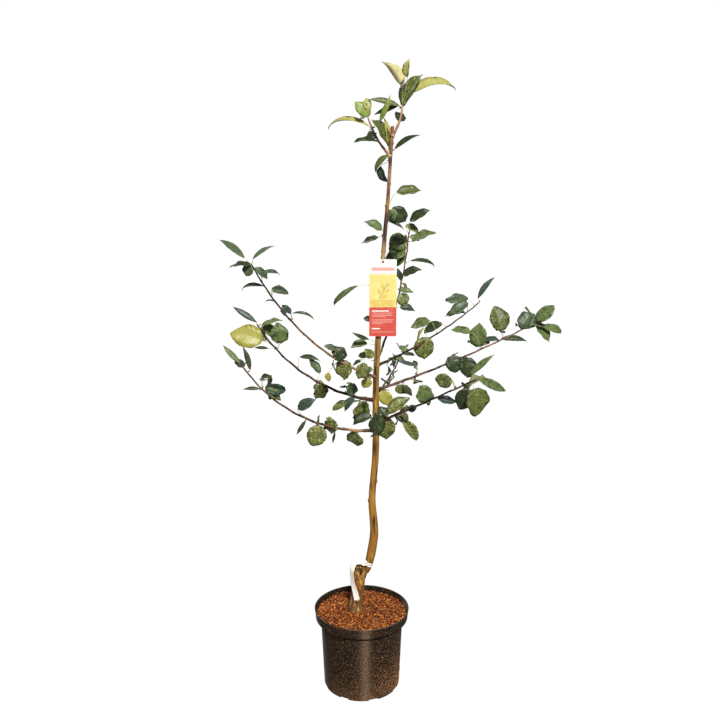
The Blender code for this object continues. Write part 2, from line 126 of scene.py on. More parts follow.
half_floor = FLOOR_SIDE / 2
floor_mesh = bpy.data.meshes.new("floor")
floor_mesh.from_pydata(
    [(x * half_floor, y * half_floor, 0) for x, y in ((-1, -1), (1, -1), (1, 1), (-1, 1))], [], [(0, 1, 2, 3)]
)
floor = bpy.data.objects.new("floor", floor_mesh)
bpy.context.scene.collection.objects.link(floor)
floor_paint, floor_shader = new_material("floor_paint", (1, 1, 1), 0.9)
floor_links = floor_paint.node_tree.links
floor_shader.inputs["Emission Color"].default_value = (1, 1, 1, 1)
floor_links.new(
    seen_or_bounced(floor_paint.node_tree, FLOOR_SEEN, FLOOR_BOUNCE), floor_shader.inputs["Base Color"]
)
floor_links.new(
    seen_or_bounced(floor_paint.node_tree, FLOOR_GLOW, 0), floor_shader.inputs["Emission Strength"]
)
floor_mesh.materials.append(floor_paint)

# The pot: an injection-moulded nursery container of thin black plastic, with a collar under
# its lip and drain slots round its foot. It is turned as one closed wall, from the middle of
# the underside round the lip to the middle of the floor inside. Dust of compost clings to it,
# and its fine turning marks draw the light out into an upright band.
POT_HEIGHT = 0.240
POT_WALL = 0.0022
RIM_RADIUS = 0.140
COLLAR_HEIGHT = 0.031
COLLAR_FOOT_RADIUS = 0.1365
COLLAR_BEND = 0.003
BODY_TOP_RADIUS = 0.1210
BASE_RADIUS = 0.112
BASE_BEND = 0.003
UNDERSIDE_HEIGHT = 0.0035
FLOOR_THICKNESS = 0.0025
FOOT_WIDTH = 0.008
POT_SIDES = 240
POT_WARP = 0.0003
POT_WARP_SIZE = 0.08
DRAIN_COUNT = 8
DRAIN_WIDTH = 0.026
DRAIN_HEIGHT = 0.007
DRAIN_TURN = math.radians(18)
DRAIN_EDGE = 0.0035
TURNING_MARKS = 1.0
QUARTER_TURN = 0.25
DUSTY_SHEEN = (1.0, 0.66, 0.42, 1)


def value_noise(points, size, seed):
    """Smooth noise from -1 to 1: random values on a lattice of that size, eased between."""
    table = np.random.default_rng(seed).uniform(-1, 1, (32, 32, 32))
    scaled = np.asarray(points, float) / size
    cell = np.floor(scaled).astype(int)
    t = scaled - cell
    t = t * t * (3 - 2 * t)
    total = 0.0
    for corner in range(8):
        step = np.array([corner & 1, corner >> 1 & 1, corner >> 2 & 1])
        weight = np.prod(np.where(step, t, 1 - t), axis=-1)
        i, j, k = np.moveaxis((cell + step) % 32, -1, 0)
        total = total + weight * table[i, j, k]
    return total


def grid_faces(rows, columns, wrap):
    """Quads over a grid of points, row by row. With wrap, the last column meets the first."""
    i = np.arange(rows - 1)[:, None]
    j = np.arange(columns if wrap else columns - 1)[None, :]
    k = (j + 1) % columns
    quads = [i * columns + j, i * columns + k, (i + 1) * columns + k, (i + 1) * columns + j]
    return np.stack(np.broadcast_arrays(*quads), -1).reshape(-1, 4)


def closed_rings(rings, first_pole, last_pole):
    """Points and faces of a closed skin through rings of points, with a point at each end."""
    count, sides = rings.shape[:2]
    points = np.concatenate([rings.reshape(-1, 3), [first_pole, last_pole]])
    turn = np.arange(sides)
    after = (turn + 1) % sides
    last = (count - 1) * sides
    foot = np.column_stack([turn, np.full(sides, len(points) - 2), after])
    tip = np.column_stack([last + turn, last + after, np.full(sides, len(points) - 1)])
    return points, [*grid_faces(count, sides, wrap=True), *foot, *tip]


def turned(profile, sides):
    """A closed skin of (radius, height) rings turned about the Z axis.

    The profile runs with the skin's outside on its right, and both its ends are closed by a
    point on the axis.
    """
    profile = np.asarray(profile, float)
    angles = 2 * np.pi * np.arange(sides) / sides
    ring = np.stack([np.cos(angles), np.sin(angles)], -1)
    level = np.broadcast_to(profile[:, None, 1:], (len(profile), sides, 1))
    rings = np.concatenate([profile[:, None, :1] * ring[None], level], axis=-1)
    return closed_rings(rings, (0, 0, profile[0, 1]), (0, 0, profile[-1, 1]))


def arc(centre, radius, start, end, steps):
    """Points along a round stretch of a profile, from one angle in degrees to another."""
    angles = np.radians(np.linspace(start, end, steps))
    return np.column_stack([centre[0] + radius * np.cos(angles), centre[1] + radius * np.sin(angles)])


def straight(start, end, steps):
    """Points along a straight stretch of a profile."""
    return np.linspace(start, end, steps)


def add_piece(name, points, faces, materials, face_materials=None, slot=None, smooth=True):
    """Makes a mesh of arrays into a piece that rides on the root body."""
    mesh = bpy.data.meshes.new(name)
    mesh.from_pydata(np.asarray(points).tolist(), [], [np.asarray(face).tolist() for face in faces])
    for made in materials:
        mesh.materials.append(made)
    if face_materials is not None:
        mesh.polygons.foreach_set("material_index", np.asarray(face_materials, np.int32))
    if smooth:
        mesh.shade_smooth()
    mesh.update()
    piece = bpy.data.objects.new(name, mesh)
    bpy.context.scene.collection.objects.link(piece)
    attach(piece, "root")
    return piece


def new_group(name, inputs, outputs):
    """A shader node group with its named inputs and their values, and its named outputs."""
    group = bpy.data.node_groups.new(name, "ShaderNodeTree")
    for title, value in inputs.items():
        kind = "NodeSocketColor" if isinstance(value, tuple) else "NodeSocketFloat"
        group.interface.new_socket(title, in_out="INPUT", socket_type=kind).default_value = value
    for title, kind in outputs.items():
        group.interface.new_socket(title, in_out="OUTPUT", socket_type="NodeSocket" + kind)
    return group, group.nodes.new("NodeGroupInput").outputs, group.nodes.new("NodeGroupOutput").inputs


def add_noise(group, size, stretch, detail):
    """Noise of a given size in a group, on object coordinates whose height is scaled."""
    nodes, links = group.nodes, group.links
    place = nodes.new("ShaderNodeTexCoord")
    scales = nodes.new("ShaderNodeCombineXYZ")
    scales.inputs["X"].default_value = scales.inputs["Y"].default_value = 1
    stretched = nodes.new("ShaderNodeVectorMath")
    stretched.operation = "MULTIPLY"
    finer = nodes.new("ShaderNodeMath")
    finer.operation = "DIVIDE"
    finer.inputs[0].default_value = 1
    noise = nodes.new("ShaderNodeTexNoise")
    noise.inputs["Detail"].default_value = detail
    links.new(stretch, scales.inputs["Z"])
    links.new(place.outputs["Object"], stretched.inputs[0])
    links.new(scales.outputs["Vector"], stretched.inputs[1])
    links.new(stretched.outputs["Vector"], noise.inputs["Vector"])
    links.new(size, finer.inputs[1])
    links.new(finer.outputs["Value"], noise.inputs["Scale"])
    return noise.outputs["Fac"]


def add_mixed_colour(group, noise, less, contrast, first, second):
    """The part of a noise above a value, sharpened, as a mask, and two colours mixed by it."""
    above = group.nodes.new("ShaderNodeMath")
    above.operation = "SUBTRACT"
    mask = group.nodes.new("ShaderNodeMath")
    mask.operation = "MULTIPLY"
    mask.use_clamp = True
    mixed = group.nodes.new("ShaderNodeMix")
    mixed.data_type = "RGBA"
    group.links.new(noise, above.inputs[0])
    group.links.new(less, above.inputs[1])
    group.links.new(above.outputs["Value"], mask.inputs[0])
    group.links.new(contrast, mask.inputs[1])
    group.links.new(mask.outputs["Value"], mixed.inputs["Factor"])
    group.links.new(first, mixed.inputs["A"])
    group.links.new(second, mixed.inputs["B"])
    return mixed.outputs["Result"], mask.outputs["Value"]


black = (0, 0, 0, 1)
patches, given, put_out = new_group(
    "patches",
    {"First": black, "Second": black, "Size": 0.01, "Stretch": 1.0, "Above": 0.5, "Contrast": 6.0},
    {"Colour": "Color", "Mask": "Float"},
)
patch_noise = add_noise(patches, given["Size"], given["Stretch"], detail=3)
patch_colour, patch_mask = add_mixed_colour(
    patches, patch_noise, given["Above"], given["Contrast"], given["First"], given["Second"]
)
patches.links.new(patch_colour, put_out["Colour"])
patches.links.new(patch_mask, put_out["Mask"])

grain, given, put_out = new_group("grain", {"Size": 0.001, "Stretch": 1.0}, {"Height": "Float"})
grain.links.new(add_noise(grain, given["Size"], given["Stretch"], detail=4), put_out["Height"])

network, given, put_out = new_group(
    "network",
    {"First": black, "Second": black, "Size": 0.003, "Width": 0.1, "Fade": 0.5},
    {"Colour": "Color", "Mask": "Float"},
)
cells = network.nodes.new("ShaderNodeTexVoronoi")
cells.feature = "DISTANCE_TO_EDGE"
cell_place = network.nodes.new("ShaderNodeTexCoord")
cell_scale = network.nodes.new("ShaderNodeMath")
cell_scale.operation = "DIVIDE"
cell_scale.inputs[0].default_value = 1
near_edge = network.nodes.new("ShaderNodeMapRange")
near_edge.inputs["To Max"].default_value = 0
cell_colour = network.nodes.new("ShaderNodeMix")
cell_colour.data_type = "RGBA"
network.links.new(cell_place.outputs["Object"], cells.inputs["Vector"])
network.links.new(given["Size"], cell_scale.inputs[1])
network.links.new(cell_scale.outputs["Value"], cells.inputs["Scale"])
network.links.new(cells.outputs["Distance"], near_edge.inputs["Value"])
network.links.new(given["Width"], near_edge.inputs["From Max"])
network.links.new(given["Fade"], near_edge.inputs["To Min"])
network.links.new(near_edge.outputs["Result"], cell_colour.inputs["Factor"])
network.links.new(given["First"], cell_colour.inputs["A"])
network.links.new(given["Second"], cell_colour.inputs["B"])
network.links.new(cell_colour.outputs["Result"], put_out["Colour"])
network.links.new(near_edge.outputs["Result"], put_out["Mask"])

Patches = namedtuple("Patches", "colour size above contrast stretch", defaults=(0.5, 6.0, 1.0))
Network = namedtuple("Network", "colour size width fade", defaults=(0.12, 0.6))


def textured(name, colour, layers, roughness, grain_size, grain_depth, stretch=1.0, gloss=0.5, zones=()):
    """A material of one colour under layers of patches, with a fine grain for the light.

    Each layer lays another colour over part of the surface, in patches or as a network of
    fine lines. roughness is that of the bare colour and that of the first layer. zones are
    heights in metres with the bare colour there, for a piece whose colour changes from its
    foot to its tip.
    """
    made, shader = new_material(name, colour, roughness[0])
    shader.inputs["Specular IOR Level"].default_value = gloss
    nodes, links = made.node_tree.nodes, made.node_tree.links
    under = None
    if zones:
        heights = [height for height, _ in zones]
        place = nodes.new("ShaderNodeTexCoord")
        parts = nodes.new("ShaderNodeSeparateXYZ")
        level = nodes.new("ShaderNodeMapRange")
        level.inputs["From Min"].default_value = heights[0]
        level.inputs["From Max"].default_value = heights[-1]
        ramp = nodes.new("ShaderNodeValToRGB")
        stops = ramp.color_ramp.elements
        for _ in zones[2:]:
            stops.new(0.5)
        for stop, (height, zone_colour) in zip(stops, zones):
            stop.position = (height - heights[0]) / (heights[-1] - heights[0])
            stop.color = (*zone_colour, 1)
        links.new(place.outputs["Object"], parts.inputs["Vector"])
        links.new(parts.outputs["Z"], level.inputs["Value"])
        links.new(level.outputs["Result"], ramp.inputs["Fac"])
        under = ramp.outputs["Color"]
    for number, layer in enumerate(layers):
        laid = nodes.new("ShaderNodeGroup")
        laid.node_tree = patches if isinstance(layer, Patches) else network
        laid.inputs["First"].default_value = (*colour, 1)
        laid.inputs["Second"].default_value = (*layer.colour, 1)
        for field in layer._fields[1:]:
            laid.inputs[field.capitalize()].default_value = getattr(layer, field)
        if under:
            links.new(under, laid.inputs["First"])
        under = laid.outputs["Colour"]
        if number == 0:
            polish = nodes.new("ShaderNodeMapRange")
            polish.inputs["To Min"].default_value = roughness[0]
            polish.inputs["To Max"].default_value = roughness[1]
            links.new(laid.outputs["Mask"], polish.inputs["Value"])
            links.new(polish.outputs["Result"], shader.inputs["Roughness"])
    links.new(under, shader.inputs["Base Color"])
    fine = nodes.new("ShaderNodeGroup")
    fine.node_tree = grain
    fine.inputs["Size"].default_value = grain_size
    fine.inputs["Stretch"].default_value = stretch
    bump = nodes.new("ShaderNodeBump")
    bump.inputs["Distance"].default_value = grain_depth
    links.new(fine.outputs["Height"], bump.inputs["Height"])
    links.new(bump.outputs["Normal"], shader.inputs["Normal"])
    return made


collar_foot = POT_HEIGHT - COLLAR_HEIGHT
lip = POT_WALL / 2 + 0.0002
inner_floor = UNDERSIDE_HEIGHT + FLOOR_THICKNESS
pot_profile = np.concatenate(
    [
        straight((0.004, UNDERSIDE_HEIGHT), (BASE_RADIUS - FOOT_WIDTH - 0.002, UNDERSIDE_HEIGHT), 12),
        arc((BASE_RADIUS - FOOT_WIDTH, 0.002), 0.002, 180, 270, 4),
        arc((BASE_RADIUS - BASE_BEND, BASE_BEND), BASE_BEND, 270, 358, 6),
        straight((BASE_RADIUS, 0.0042), (BODY_TOP_RADIUS, collar_foot - 0.0015), 30),
        arc((COLLAR_FOOT_RADIUS - COLLAR_BEND, collar_foot + COLLAR_BEND), COLLAR_BEND, -85, 0, 6),
        straight((COLLAR_FOOT_RADIUS, collar_foot + 0.004), (RIM_RADIUS - 0.001, POT_HEIGHT - 0.004), 8),
        arc((RIM_RADIUS - lip, POT_HEIGHT - lip), lip, -20, 200, 9),
        straight((RIM_RADIUS - 0.001 - POT_WALL, POT_HEIGHT - 0.006),
                 (COLLAR_FOOT_RADIUS - POT_WALL, collar_foot + 0.004), 6),
        straight((BODY_TOP_RADIUS - POT_WALL, collar_foot), (BASE_RADIUS - POT_WALL, inner_floor + 0.001), 12),
        straight((BASE_RADIUS - POT_WALL - 0.001, inner_floor), (0.004, inner_floor), 12),
    ]
)
pot_points, pot_faces = turned(pot_profile, POT_SIDES)
pot_angle = np.arctan2(pot_points[:, 1], pot_points[:, 0])
pot_reach = np.hypot(pot_points[:, 0], pot_points[:, 1])
slot_pitch = 2 * np.pi / DRAIN_COUNT
from_slot = (pot_angle + np.pi / 2 - DRAIN_TURN + slot_pitch / 2) % slot_pitch - slot_pitch / 2
in_slot = 1 / (1 + np.exp((np.abs(from_slot) - DRAIN_WIDTH / 2 / BASE_RADIUS) / DRAIN_EDGE))
on_foot = (pot_reach > BASE_RADIUS - FOOT_WIDTH - BASE_BEND) & (pot_points[:, 2] < inner_floor)
pot_points[:, 2] += in_slot * on_foot * (DRAIN_HEIGHT - pot_points[:, 2]) * (1 - pot_points[:, 2] / inner_floor)
warp = POT_WARP * value_noise(pot_points, POT_WARP_SIZE, 3) * (pot_points[:, 2] > inner_floor + 0.01)
pot_points[:, :2] *= (1 + warp / np.maximum(pot_reach, 0.01))[:, None]

pot_plastic = textured(
    "pot_plastic",
    (0.0055, 0.0045, 0.0040),
    [
        Patches((0.016, 0.010, 0.007), 0.035, above=0.50, contrast=5.0, stretch=0.45),
        Patches((0.150, 0.074, 0.033), 0.0026, above=0.57, contrast=11.0, stretch=0.7),
        Patches((0.420, 0.310, 0.200), 0.0020, above=0.65, contrast=18.0, stretch=0.7),
    ],
    roughness=(0.54, 0.60),
    grain_size=0.0012,
    grain_depth=0.0001,
    stretch=3.0,
    gloss=0.48,
    zones=(
        (0.000, (0.050, 0.026, 0.013)),
        (0.070, (0.010, 0.006, 0.004)),
        (0.2370, (0.005, 0.0035, 0.003)),
        # Painted highlight: the paler band round the lip stands for the light caught along the rim's edge.
        (0.2385, (0.065, 0.052, 0.044)),
    ),
)
pot_gloss = pot_plastic.node_tree.nodes["Principled BSDF"].inputs
pot_gloss["Anisotropic"].default_value = TURNING_MARKS
pot_gloss["Anisotropic Rotation"].default_value = QUARTER_TURN
pot_gloss["Specular Tint"].default_value = DUSTY_SHEEN
pot = add_piece("moulded_pot", pot_points, pot_faces, [pot_plastic], slot="pot_plastic")
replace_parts(pot, "pot")

# The compost: coarse composted bark and coir, laid loosely to just under the rim. A lumpy
# plug fills the pot, and thousands of small chips and some coir strands lie on it. Crumbs of
# it cling to the pot's side, most of them low down on the right.
COMPOST_TOP = 0.225
COMPOST_RADIUS = 0.1335
COMPOST_DEPTH = 0.006
COMPOST_RINGS = 60
COMPOST_SIDES = 160
CHIPS_PER_COLOUR = 1900
CRUMB_COUNT = 3600
CRUMB_COLOURS = ((0.320, 0.150, 0.066), (0.120, 0.054, 0.026))
CRUMB_SIZE = 0.36
CRUMB_FACING = math.radians(-35)
CRUMB_SPREAD = 0.55
CRUMB_FLOOR = 0.008
CRUMB_LEVEL = 0.070
STRAND_COUNT = 130
STRAND_LENGTH = 0.018
STRAND_RADIUS = 0.00035
CHIP_COLOURS = {
    "rust": ((0.200, 0.042, 0.010), (0.090, 0.018, 0.006)),
    "gold": ((0.560, 0.215, 0.048), (0.260, 0.080, 0.018)),
    "brown": ((0.058, 0.014, 0.006), (0.024, 0.007, 0.004)),
    "tan": ((0.290, 0.080, 0.020), (0.150, 0.036, 0.010)),
}

bed_radii = np.linspace(0.001, COMPOST_RADIUS, COMPOST_RINGS)
bed_profile = np.concatenate(
    [
        [(0.001, COMPOST_TOP - COMPOST_DEPTH), (COMPOST_RADIUS, COMPOST_TOP - COMPOST_DEPTH)],
        np.column_stack([bed_radii[::-1], np.full(COMPOST_RINGS, COMPOST_TOP)]),
    ]
)
bed_points, bed_faces = turned(bed_profile, COMPOST_SIDES)
on_top = bed_points[:, 2] > COMPOST_TOP - COMPOST_DEPTH / 2
lumps = 0.0026 * value_noise(bed_points, 0.022, 1) + 0.0016 * value_noise(bed_points, 0.007, 2)
bed_points[:, 2] += on_top * (lumps - 0.0022)
compost_bed = textured(
    "compost_bed",
    (0.055, 0.015, 0.006),
    [Patches((0.165, 0.042, 0.012), 0.006, above=0.5, contrast=7.0)],
    roughness=(0.95, 0.9),
    grain_size=0.002,
    grain_depth=0.0012,
    gloss=0.1,
)
bed = add_piece("compost_bed", bed_points, bed_faces, [compost_bed], slot="compost")
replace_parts(bed, "compost")


def strewn(count, rng):
    """Places over the compost, evenly by area, that follow its gentle lumps."""
    radius = COMPOST_RADIUS * 0.975 * np.sqrt(rng.random(count))
    turn = rng.uniform(0, 2 * np.pi, count)
    places = np.column_stack([radius * np.cos(turn), radius * np.sin(turn), np.full(count, COMPOST_TOP)])
    places[:, 2] += 0.0026 * value_noise(places, 0.022, 1) + rng.uniform(-0.0030, 0.0010, count)
    return places


def clinging(count, rng):
    """Places on the pot's side, thickest low down and in one direction: two bell curves."""
    turn = CRUMB_FACING + rng.normal(0, CRUMB_SPREAD, count)
    level = CRUMB_FLOOR + np.abs(rng.normal(0, CRUMB_LEVEL, count))
    level = np.minimum(level, POT_HEIGHT - COLLAR_HEIGHT - 2 * CRUMB_FLOOR)
    radius = BASE_RADIUS + (BODY_TOP_RADIUS - BASE_RADIUS) * level / (POT_HEIGHT - COLLAR_HEIGHT)
    return np.column_stack([radius * np.cos(turn), radius * np.sin(turn), level])


def chips(centre, scale, rng):
    """Points and faces of small six-cornered flakes at the given places, each its own."""
    count = len(centre)
    size = scale * rng.lognormal(0, 0.38, count)[:, None, None] * np.array([0.0029, 0.0017, 0.0010])
    corners = np.array(
        [[-1, 0, 0], [1, 0, 0], [-0.3, -1, 0], [0.3, 1, 0], [0.1, 0, -1], [-0.1, 0, 1]], float
    )
    shape = corners[None] * size * rng.uniform(0.6, 1.3, (count, 6, 1))
    spin = rng.uniform(0, 2 * np.pi, count)[:, None]
    tip, roll = rng.normal(0, 0.5, (2, count, 1))
    x = shape[..., 0] * np.cos(tip) + shape[..., 2] * np.sin(tip)
    z = shape[..., 2] * np.cos(tip) - shape[..., 0] * np.sin(tip)
    y = shape[..., 1] * np.cos(roll) - z * np.sin(roll)
    z = shape[..., 1] * np.sin(roll) + z * np.cos(roll)
    flat = [x * np.cos(spin) - y * np.sin(spin), x * np.sin(spin) + y * np.cos(spin), z]
    points = np.stack(flat, -1) + centre[:, None]
    faces = np.array(
        [[0, 2, 5], [2, 1, 5], [1, 3, 5], [3, 0, 5], [2, 0, 4], [1, 2, 4], [3, 1, 4], [0, 3, 4]]
    )
    return points.reshape(-1, 3), (faces[None] + 6 * np.arange(count)[:, None, None]).reshape(-1, 3)


for number, (name, (colour, shade)) in enumerate(CHIP_COLOURS.items()):
    rng = np.random.default_rng(20 + number)
    flakes = chips(strewn(CHIPS_PER_COLOUR, rng), 1, rng)
    chip_bark = textured(
        f"chip_bark_{name}", colour, [Patches(shade, 0.004)], (0.85, 0.95), 0.0008, 0.0002, gloss=0.1
    )
    add_piece(f"chips_{name}", *flakes, [chip_bark], slot="compost", smooth=False)
rng = np.random.default_rng(29)
crumbs = chips(clinging(CRUMB_COUNT, rng), CRUMB_SIZE, rng)
crumb_bark = textured(
    "crumb_bark", CRUMB_COLOURS[0], [Patches(CRUMB_COLOURS[1], 0.004)], (0.85, 0.95), 0.0008, 0.0002, gloss=0.1
)
add_piece("crumbs_on_pot", *crumbs, [crumb_bark], slot="compost", smooth=False)


def unit(vectors):
    """Each vector at length one."""
    return vectors / np.linalg.norm(vectors, axis=-1, keepdims=True)


def tube(centres, radii, sides, aside):
    """A closed tube. radii is one for each ring, or one for each point.

    Each ring stands square to the line through its neighbours and starts on the side that
    aside points to, so the tube never twists. A point closes each end.
    """
    tangents = unit(np.gradient(centres, axis=0))
    first = unit(aside - tangents * (tangents @ aside)[:, None])
    second = np.cross(tangents, first)
    angles = 2 * np.pi * np.arange(sides) / sides
    spokes = np.cos(angles)[:, None] * first[:, None] + np.sin(angles)[:, None] * second[:, None]
    radii = np.broadcast_to(np.asarray(radii).reshape(len(centres), -1), (len(centres), sides))
    return closed_rings(centres[:, None] + spokes * radii[..., None], centres[0], centres[-1])


def joined(parts):
    """Several meshes of points and faces as one."""
    points, faces, count = [], [], 0
    for part_points, part_faces in parts:
        points.append(part_points)
        faces += [np.asarray(face) + count for face in part_faces]
        count += len(part_points)
    return np.concatenate(points), faces


def strands(count, seed):
    """Thin bowed strands of coir that lie on the compost."""
    rng = np.random.default_rng(seed)
    made = []
    for place in strewn(count, rng):
        turn = rng.uniform(0, 2 * np.pi)
        ahead = np.array([math.cos(turn), math.sin(turn), rng.normal(0, 0.12)])
        across = np.array([-math.sin(turn), math.cos(turn), 0])
        t = np.linspace(-0.5, 0.5, 6)[:, None]
        line = place * (0.93, 0.93, 1) + STRAND_LENGTH * rng.uniform(0.5, 1.2) * ahead * t
        line = line + 0.006 * rng.normal() * across * (0.25 - t**2) * 4
        line[:, 2] = np.maximum(line[:, 2], COMPOST_TOP - 0.001) + 0.0014
        made.append(tube(line, STRAND_RADIUS * np.array([0.5, 1, 1, 1, 1, 0.5]), 5, np.array([0, 0, 1.0])))
    return joined(made)


coir = textured("coir", (0.400, 0.190, 0.070), [Patches((0.240, 0.095, 0.030), 0.006)], (0.8, 0.9), 0.001, 0.0001)
add_piece("coir_strands", *strands(STRAND_COUNT, 27), [coir], slot="compost")

# The woody stem: a rootstock stub with a cut top, and the trunk grafted to its side. Both
# are tubes carried along their centre lines, given as height, place right, place back and
# diameter, with the furrows, pores and knots of the bark in the mesh.
STUB = (
    (0.2253, -0.018, 0.012, 0.048),
    (0.240, -0.017, 0.012, 0.041),
    (0.282, -0.012, 0.012, 0.037),
    (0.364, -0.004, 0.012, 0.036),
)
STEM = (
    (0.338, 0.014, 0.012, 0.016),
    (0.375, 0.022, 0.011, 0.024),
    (0.410, 0.029, 0.009, 0.026),
    (0.463, 0.036, 0.006, 0.0245),
    (0.573, 0.030, 0.000, 0.0209),
    (0.700, 0.039, -0.002, 0.0195),
    (0.950, 0.041, 0.000, 0.0177),
    (1.127, 0.051, 0.003, 0.0152),
    (1.306, 0.061, 0.003, 0.0117),
    (1.420, 0.070, 0.000, 0.0100),
    (1.619, 0.082, -0.001, 0.0086),
)
CUT_BEVEL = 0.0006
GRAFT_CALLUS = 0.026
Knot = namedtuple("Knot", "height azimuth across up out")
STEM_KNOTS = (
    Knot(0.632, -20, 0.0050, 0.0060, 0.0032),
    Knot(0.572, 190, 0.0035, 0.0045, 0.0026),
    Knot(0.478, -60, 0.0060, 0.0050, 0.0014),
    Knot(0.520, 120, 0.0045, 0.0050, 0.0020),
    Knot(0.705, 70, 0.0040, 0.0040, 0.0018),
    Knot(1.085, 200, 0.0040, 0.0050, 0.0018),
    Knot(1.205, 30, 0.0035, 0.0045, 0.0018),
    Knot(1.262, 170, 0.0035, 0.0045, 0.0016),
    Knot(1.330, 180, 0.0035, 0.0045, 0.0020),
    Knot(1.372, 0, 0.0030, 0.0040, 0.0020),
    Knot(1.410, 200, 0.0030, 0.0040, 0.0020),
    Knot(1.470, 20, 0.0030, 0.0040, 0.0016),
    Knot(1.535, 190, 0.0035, 0.0045, 0.0024),
    Knot(1.575, 20, 0.0030, 0.0040, 0.0020),
)
STUB_KNOTS = (
    Knot(0.262, -80, 0.0090, 0.0070, 0.0030),
    Knot(0.318, -40, 0.0070, 0.0100, 0.0026),
    Knot(0.345, -130, 0.0080, 0.0060, 0.0022),
    Knot(0.296, 100, 0.0080, 0.0090, 0.0028),
    Knot(0.344, 0, 0.0120, 0.0140, 0.0045),
)
Relief = namedtuple("Relief", "furrow furrow_size length pore swell")
STEM_RELIEF = Relief(0.00028, 0.0042, 6.0, 0.0009, 0.030)
STUB_RELIEF = Relief(0.00110, 0.0065, 3.0, 0.0016, 0.060)


def smooth_values(at, places, values):
    """Values read from a cubic through the given places, whose slopes are their mean slopes."""
    places, values = np.asarray(places, float), np.asarray(values, float)
    slopes = np.gradient(values, places)
    i = np.clip(np.searchsorted(places, at) - 1, 0, len(places) - 2)
    span = places[i + 1] - places[i]
    t = (at - places[i]) / span
    start = (1 + 2 * t) * (1 - t) ** 2 * values[i] + t * (1 - t) ** 2 * span * slopes[i]
    end = t * t * (3 - 2 * t) * values[i + 1] + t * t * (t - 1) * span * slopes[i + 1]
    return start + end


def stem_at(heights, stations):
    """Centre points and radii of a stem at the given heights."""
    places, right, back, across = zip(*stations)
    heights = np.atleast_1d(heights)
    centres = [smooth_values(heights, places, right), smooth_values(heights, places, back)]
    return np.column_stack([*centres, heights]), smooth_values(heights, places, across) / 2


def bark_tube(stations, step, sides, relief, knots, seed, callus=0.0):
    """A run of the stem with its bark.

    To the radius at each height and angle come long furrows, which are noise stretched up
    the stem, pores, which are the peaks of a noise stretched round it, a slow swell, and a
    rounded lump for each knot. The last ring is drawn in a little, for a clean cut end, and
    over the height of a callus the foot is rounded off as a quarter of a circle.
    """
    heights = np.arange(stations[0][0], stations[-1][0] - CUT_BEVEL, step)
    heights = np.append(heights, [stations[-1][0] - CUT_BEVEL, stations[-1][0]])
    centres, radii = stem_at(heights, stations)
    angles = 2 * np.pi * np.arange(sides) / sides + np.pi / 2
    level, radius, azimuth = heights[:, None], radii[:, None], angles[None]
    around = np.stack(
        np.broadcast_arrays(np.cos(azimuth) * radius, np.sin(azimuth) * radius, level), -1
    )
    furrows = value_noise(around * (1, 1, 1 / relief.length), relief.furrow_size, seed)
    pores = np.clip(value_noise(around * (1, 1, 2.6), 0.0046, seed + 1) - 0.42, 0, 1)
    swell = value_noise(around * (0.4, 0.4, 1), 0.035, seed + 2)
    skin = radius * (1 + relief.swell * swell) + relief.furrow * furrows + relief.pore * pores
    for knot in knots:
        apart = (azimuth - math.radians(knot.azimuth) + np.pi) % (2 * np.pi) - np.pi
        spread = (apart * radius / knot.across) ** 2 + ((level - knot.height) / knot.up) ** 2
        skin = skin + knot.out * np.exp(-spread)
    skin[-1] -= CUT_BEVEL
    if callus:
        from_top = np.clip(1 - (level - heights[0]) / callus, 0, 0.985)
        skin = skin * np.sqrt(1 - from_top**2)
    return tube(centres, skin, sides, np.array([0, 1, 0]))


trunk_bark = textured(
    "trunk_bark",
    (0.230, 0.110, 0.024),
    [
        Patches((0.034, 0.016, 0.006), 0.011, above=0.51, contrast=7.0, stretch=0.12),
        Patches((0.460, 0.250, 0.055), 0.009, above=0.55, contrast=7.0, stretch=0.16),
        Patches((0.480, 0.330, 0.160), 0.0019, above=0.66, contrast=14.0, stretch=1.6),
    ],
    roughness=(0.55, 0.75),
    grain_size=0.0012,
    grain_depth=0.0005,
    stretch=0.25,
    gloss=0.2,
    zones=(
        (0.338, (0.230, 0.095, 0.014)),
        (0.560, (0.330, 0.150, 0.020)),
        (0.700, (0.320, 0.150, 0.022)),
        (0.900, (0.240, 0.130, 0.026)),
        (1.230, (0.280, 0.150, 0.060)),
        (1.300, (0.380, 0.210, 0.115)),
        # Painted shade: the darker band from 1.335 to 1.385 m stands for the shadows of leaves on the trunk.
        (1.335, (0.075, 0.042, 0.030)),
        (1.385, (0.085, 0.046, 0.032)),
        (1.430, (0.230, 0.110, 0.050)),
        (1.480, (0.350, 0.190, 0.105)),
        (1.505, (0.300, 0.160, 0.090)),
        # Painted shadow: the near-black band at about 1.525 m stands for the shade under a leaf.
        (1.525, (0.070, 0.032, 0.022)),
        (1.570, (0.210, 0.100, 0.050)),
        (1.619, (0.250, 0.085, 0.045)),
    ),
)
stub_bark = textured(
    "stub_bark",
    (0.110, 0.060, 0.022),
    [
        Patches((0.020, 0.010, 0.006), 0.010, above=0.53, contrast=7.0, stretch=0.45),
        Patches((0.520, 0.290, 0.060), 0.007, above=0.55, contrast=8.0, stretch=0.35),
    ],
    roughness=(0.75, 0.9),
    grain_size=0.0018,
    grain_depth=0.0010,
    stretch=0.5,
    gloss=0.2,
    zones=(
        (0.225, (0.165, 0.078, 0.034)),
        (0.255, (0.150, 0.068, 0.026)),
        (0.300, (0.150, 0.048, 0.014)),
        (0.340, (0.350, 0.165, 0.036)),
        (0.366, (0.060, 0.030, 0.014)),
    ),
)
stem_skin = bark_tube(STEM, 0.002, 44, STEM_RELIEF, STEM_KNOTS, 30, callus=GRAFT_CALLUS)
stub_skin = bark_tube(STUB, 0.0015, 72, STUB_RELIEF, STUB_KNOTS, 40)
trunk = add_piece("trunk_bark", *stem_skin, [trunk_bark], slot="bark")
stub = add_piece("stub_bark", *stub_skin, [stub_bark], slot="bark")
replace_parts(trunk, "trunk")
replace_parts(stub, "trunk")

